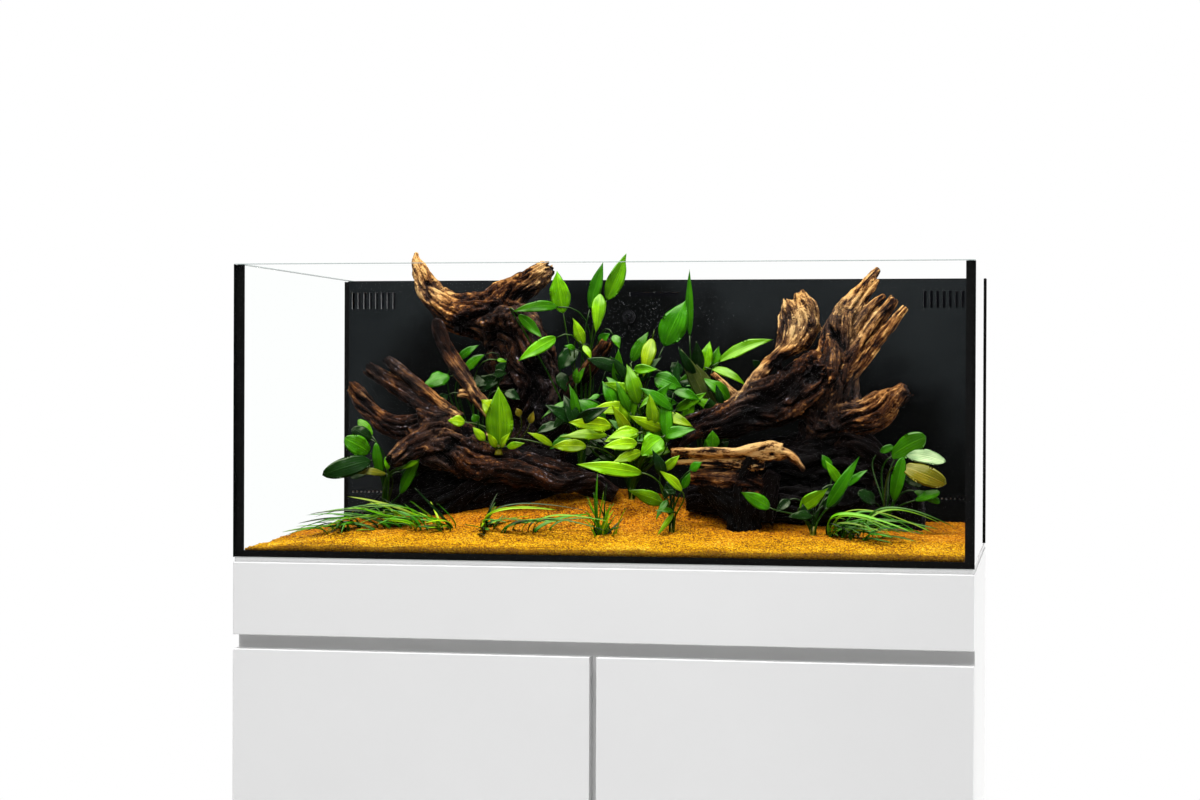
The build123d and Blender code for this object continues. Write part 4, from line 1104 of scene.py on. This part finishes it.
def addLeaf(plant, foot, tip, width, colour, arch, style, chance):
    # a blade of two layers that meet along its edge, folded at the midrib and twisted along its run
    run = tip - foot
    facing = Vector(style["facing"]) + Vector(chance.uniform(-0.3, 0.3) for _ in range(3))
    across = run.cross(facing).normalized()
    normal = across.cross(run).normalized()
    twist = chance.uniform(-1, 1) * leafLook["twist"]
    fold = style["fold"] * chance.uniform(-0.5, 1.1)
    knee = foot + run * style["lean"] + normal * (2 * arch * run.length)
    rows, columns = leafLook["along"], leafLook["across"]
    thick = leafLook["thick"] * mm
    phase = chance.uniform(0, 6.28)
    index = {}
    for i in range(rows + 1):
        u = i / rows
        middle = foot * (1 - u) ** 2 + knee * (2 * u * (1 - u)) + tip * u**2
        ahead = ((knee - foot) * (1 - u) + (tip - knee) * u).normalized()
        level = (Matrix.Rotation(twist * (u - 0.4), 3, ahead) @ across).normalized()
        out = level.cross(ahead)
        half = 0.5 * width * leafOutline(u, *style["outline"])
        for j in range(columns + 1):
            v = 2 * j / columns - 1
            if i in (0, rows) and j:
                index[i, j, 1] = index[i, j, -1] = index[i, 0, 1]
                continue
            wave = math.sin(11 * u + phase) + 0.6 * math.sin(23 * u + 2 * phase + v)
            lift = half * fold * (math.sqrt(v * v + 0.03) - 0.17) + leafLook["wave"] * width * wave * v * v
            spot = middle + level * (v * half) + out * lift
            body = 0.5 * thick * math.sqrt(max(0.0, 1 - v * v))
            for layer in (1, -1):
                if layer == -1 and (abs(v) == 1 or i in (0, rows)):
                    index[i, j, -1] = index[i, j, 1]
                    continue
                index[i, j, layer] = len(plant["verts"])
                plant["verts"].append(spot + out * (layer * body))
                plant["blade"].append((u, v, 1))
                plant["tint"].append((*colour, 1))
    for i in range(rows):
        for j in range(columns):
            for layer in (1, -1):
                ring = [index[i + di, j + dj, layer] for di, dj in ((0, 0), (1, 0), (1, 1), (0, 1))]
                ring = list(dict.fromkeys(ring if layer == 1 else reversed(ring)))
                if len(ring) > 2:
                    plant["faces"].append(tuple(ring))


def addStem(plant, bend, colour, foot, tip, steps=12, sides=6):
    # bend is the four points of a cubic curve
    start, first, second, end = bend
    before = len(plant["verts"])
    for i in range(steps + 1):
        t = i / steps
        rest = 1 - t
        middle = start * rest**3 + first * (3 * t * rest**2) + second * (3 * t * t * rest) + end * t**3
        ahead = (first - start) * rest**2 + (second - first) * (2 * t * rest) + (end - second) * t * t
        ahead = ahead.normalized()
        side = ahead.cross(Vector((0.3, 0.9, 0.1))).normalized()
        other = ahead.cross(side)
        radius = (foot + (tip - foot) * t) * mm
        for k in range(sides):
            angle = 2 * math.pi * k / sides
            plant["verts"].append(middle + (side * math.cos(angle) + other * math.sin(angle)) * radius)
            plant["blade"].append((t, 0.5, 0))
            plant["tint"].append((*colour, 1))
    plant["faces"].extend(closedTube(before, steps + 1, sides))


def varied(colour, chance, amount):
    shift = 1 + chance.uniform(-amount, amount)
    warm = 1 + 0.6 * chance.uniform(-amount, amount)
    return (colour[0] * shift * warm, colour[1] * shift, colour[2] * shift)


def emptyPlant():
    return dict(verts=[], faces=[], blade=[], tint=[])


def finishPlant(plant, shape, material, slotName):
    piece = newPiece(shape["name"], plant["verts"], plant["faces"], smooth=True)
    tag(piece, "blade", "FLOAT_VECTOR", plant["blade"])
    tag(piece, "tint", "FLOAT_COLOR", plant["tint"])
    settle(piece, material, slotName, shape["node"])


def upBy(height):
    return Vector((0, 0, height))


def makePlant(shape, material, seed):
    chance = random.Random(seed)
    x, y = shape["root"]
    height = shape.get("height", float(sandHeight(x * mm, y * mm)) / mm)
    root = aboveBed((x, y, height - 3))
    plant = emptyPlant()
    crown = (root - upBy(4 * mm), root, root, root + upBy(14 * mm))
    addStem(plant, crown, leafTints["olive"], 6.0, 3.0, steps=4, sides=10)
    style = {**leafLook, "outline": shape.get("outline", leafLook["outline"])}
    for footPoint, tipPoint, width, tintName, *own in shape["leaves"] + fillLeaves(shape, height, chance):
        foot, tip = aboveBed(footPoint), aboveBed(tipPoint)
        colour = varied(leafTints[tintName], chance, 0.3)
        arch = own[0] if own else leafLook["arch"]
        addLeaf(plant, foot, tip, width * mm, colour, arch, style, chance)
        reach = (foot - root).length
        ahead = (tip - foot).normalized()
        stemColour = tuple(0.09 * (a + b) for a, b in zip(colour, leafTints["green"]))
        start = root + Vector((chance.uniform(-3, 3) * mm, chance.uniform(-3, 3) * mm, 2 * mm))
        bend = (start, start + upBy(0.5 * reach), foot - ahead * 0.3 * reach, foot + ahead * 2 * mm)
        addStem(plant, bend, stemColour, leafLook["stemFoot"], leafLook["stemTip"])
    finishPlant(plant, shape, material, "leaf")


def fillLeaves(shape, height, chance):
    # low dark leaves that close the gaps round a root, then the thickets
    made = []
    x, y = shape["root"]
    for _ in range(shape["fill"]):
        turn = chance.uniform(0, 2 * math.pi)
        near, far = chance.uniform(12, 26), chance.uniform(38, 58)
        low, high = height + chance.uniform(28, 70), height + chance.uniform(45, 105)
        foot = (x + near * math.cos(turn), y + 0.6 * near * math.sin(turn), low)
        tip = (x + far * math.cos(turn), y + 0.6 * far * math.sin(turn), high)
        width, tint = chance.uniform(12, 19), chance.choice(("deep", "deep", "green"))
        made.append((foot, tip, width, tint, chance.uniform(0.06, 0.16)))
    for count, spanX, spanY, spanZ, tints in shape.get("thicket", []):
        for _ in range(count):
            foot = [chance.uniform(*span) for span in (spanX, spanY, spanZ)]
            turn, reach = math.radians(chance.uniform(-25, 205)), chance.uniform(32, 54)
            shift = (reach * math.cos(turn), chance.uniform(-16, 6), reach * math.sin(turn))
            tip = [at + by for at, by in zip(foot, shift)]
            width, tint = reach * chance.uniform(0.28, 0.42), chance.choice(tints)
            made.append((foot, tip, width, tint, chance.uniform(0.05, 0.2)))
    return made


def leafMaterial():
    material, tree, shader = newMaterial("wetLeaf", (0.1, 0.4, 0.02), 0.32, 0.05)
    blade = carried(tree, "blade")
    tint = carried(tree, "tint", "Color")
    place = ownPlace(tree)
    along, aside, _ = parts(blade)
    across = unsigned(aside)
    midrib = spread(across, 0.02, 0.08, 1.0, 0.0)
    veins = spread(unsigned(calc("SINE", times(across, 12.0))), 0.0, 0.4, 1.0, 0.0)
    patch = cloudy(place, 60.0, detail=5.0)
    streak = cloudy(stretched(blade, (2.5, 20, 1)), 1.0, detail=5.0)
    flecks = cloudy(place, 420.0, detail=3.0)
    darker = multiplied(tint, (0.30, 0.42, 0.30))
    paler = multiplied(tint, (1.7, 1.35, 1.4))
    colour = tint
    for share, towards in (
        (spread(patch, 0.40, 0.7, 0.0, 0.8), darker), (spread(streak, 0.42, 0.7, 0.0, 0.85), paler),
        (times(veins, 0.5), darker), (spread(aside, -0.08, 0.08, 0.45, 0.0), darker),  # one half is in shade
        (spread(along, 0.0, 0.3, 0.55, 0.0), darker), (times(midrib, 0.65), paler),
    ):
        colour = tinted(share, colour, towards)
    # sheen: leaf faces turned towards sheenSide are painted paler, a painted highlight
    normal = put(tree, "NewGeometry")["Normal"]
    lit = join("VectorMath", {0: normal, 1: leafLook["sheenSide"]}, operation="DOT_PRODUCT")["Value"]
    sheen = times(spread(lit, 0.82, 0.98), spread(streak, 0.4, 0.65, 0.2, 0.8))
    colour = tinted(sheen, colour, tinted(0.35, paler, (0.75, 0.85, 0.55)))
    height = calc("SUBTRACT", times(flecks, 0.3), times(plus(veins, midrib), 0.5))
    paint(shader, colour=colour, rough=between(flecks, 0.22, 0.45), normal=bumped(height, 0.6, 0.0009))
    through = put(tree, "BsdfTranslucent", {"Color": colour})[0]
    surface(tree, blend(leafLook["seeThrough"], shader.outputs[0], through))
    return material


# grass, as clumps of (root, tips of the blades) in millimetres

leftGrass = dict(name="leftGrass", node="left_grass", lift=0.16, front=-175, clumps=[
    ((-253, -75), [(-343, -100, 67), (-353, -85, 84), (-346, -120, 32), (-286, -110, 40), (-396, -100, 34)]),
    ((-338, -84), [(-404, -136, 12), (-390, -150, 10), (-362, -152, 14)]),
    ((-212, -96), [(-262, -104, 60), (-288, -112, 44), (-236, -140, 16)]),
])
midGrass = dict(name="midGrass", node="mid_grass", lift=0.16, front=-200, clumps=[
    ((-168, -100), [(-159, -155, 20), (-23, -138, 36), (-64, -135, 44), (-149, -100, 63)]),
])
frontGrass = dict(name="frontGrass", node="front_grass", lift=0.10, front=-190, clumps=[
    ((-13, -120), [(-32, -136, 78), (-15, -134, 83), (-1, -138, 83), (14, -136, 60)]),
])
rightGrass = dict(name="rightGrass", node="right_grass", lift=0.24, front=-170, clumps=[
    ((270, -86), [(402, -130, 26), (351, -138, 26), (332, -125, 32),
        (290, -120, 41), (373, -100, 38), (380, -150, 20)]),
])
grassLook = dict(
    width=4.4, perTip=8, scatter=10, along=0.55, swing=45, fold=0.9, lean=0.16,
    facing=(0.1, -0.6, 1.0), outline=(0.15, 0.5), tints=("green", "fresh", "green", "lime", "deep"),
)


def growBlade(tuft, root, run, loose, shape, chance):
    # a loose blade starts along the run of the first one and swings aside
    scatter = grassLook["scatter"] if loose else 2
    start = root + Vector((chance.uniform(-scatter, scatter), chance.uniform(-scatter, scatter), 0)) * mm
    reach = run
    if loose:
        start += run * chance.uniform(0, grassLook["along"])
        swing = math.radians(chance.gauss(0, 0.6) * grassLook["swing"])
        reach = Matrix.Rotation(swing, 3, "Z") @ run * chance.uniform(0.4, 0.85)
    start.z = sandTop(start) - 3 * mm
    tip = start + reach
    tip.y = max(tip.y, shape["front"] * mm)
    tip.z = max(start.z + reach.z * chance.uniform(0.2, 1.0), sandTop(tip) + 3 * mm)
    colour = varied(leafTints[chance.choice(grassLook["tints"])], chance, 0.4)
    width = grassLook["width"] * chance.uniform(0.5, 1.2) * mm
    addLeaf(tuft, start, tip, width, colour, shape["lift"] * chance.uniform(0.4, 1.6), grassLook, chance)


def makeGrass(shape, material, seed):
    chance = random.Random(seed)
    tuft = emptyPlant()
    for rootPoint, tips in shape["clumps"]:
        root = aboveBed((*rootPoint, 0))
        for tipPoint in tips:
            for turn in range(grassLook["perTip"]):
                growBlade(tuft, root, aboveBed(tipPoint) - root, turn > 0, shape, chance)
    finishPlant(tuft, shape, material, "grass")


def makePlants():
    material = leafMaterial()
    swords = [upperSword, centreSword, rightSword, leftBroad, backSword, logSword, frontSword]
    for i, shape in enumerate(swords + [rightBroad, rightLow]):
        makePlant(shape, material, 20 + i)
    for i, shape in enumerate([leftGrass, midGrass, frontGrass, rightGrass]):
        makeGrass(shape, material, 40 + i)
    print("plants set")


setCamera()
setStudio()
finishTank()
finishCabinet()
makeSand()
makeDriftwood()
makePlants()
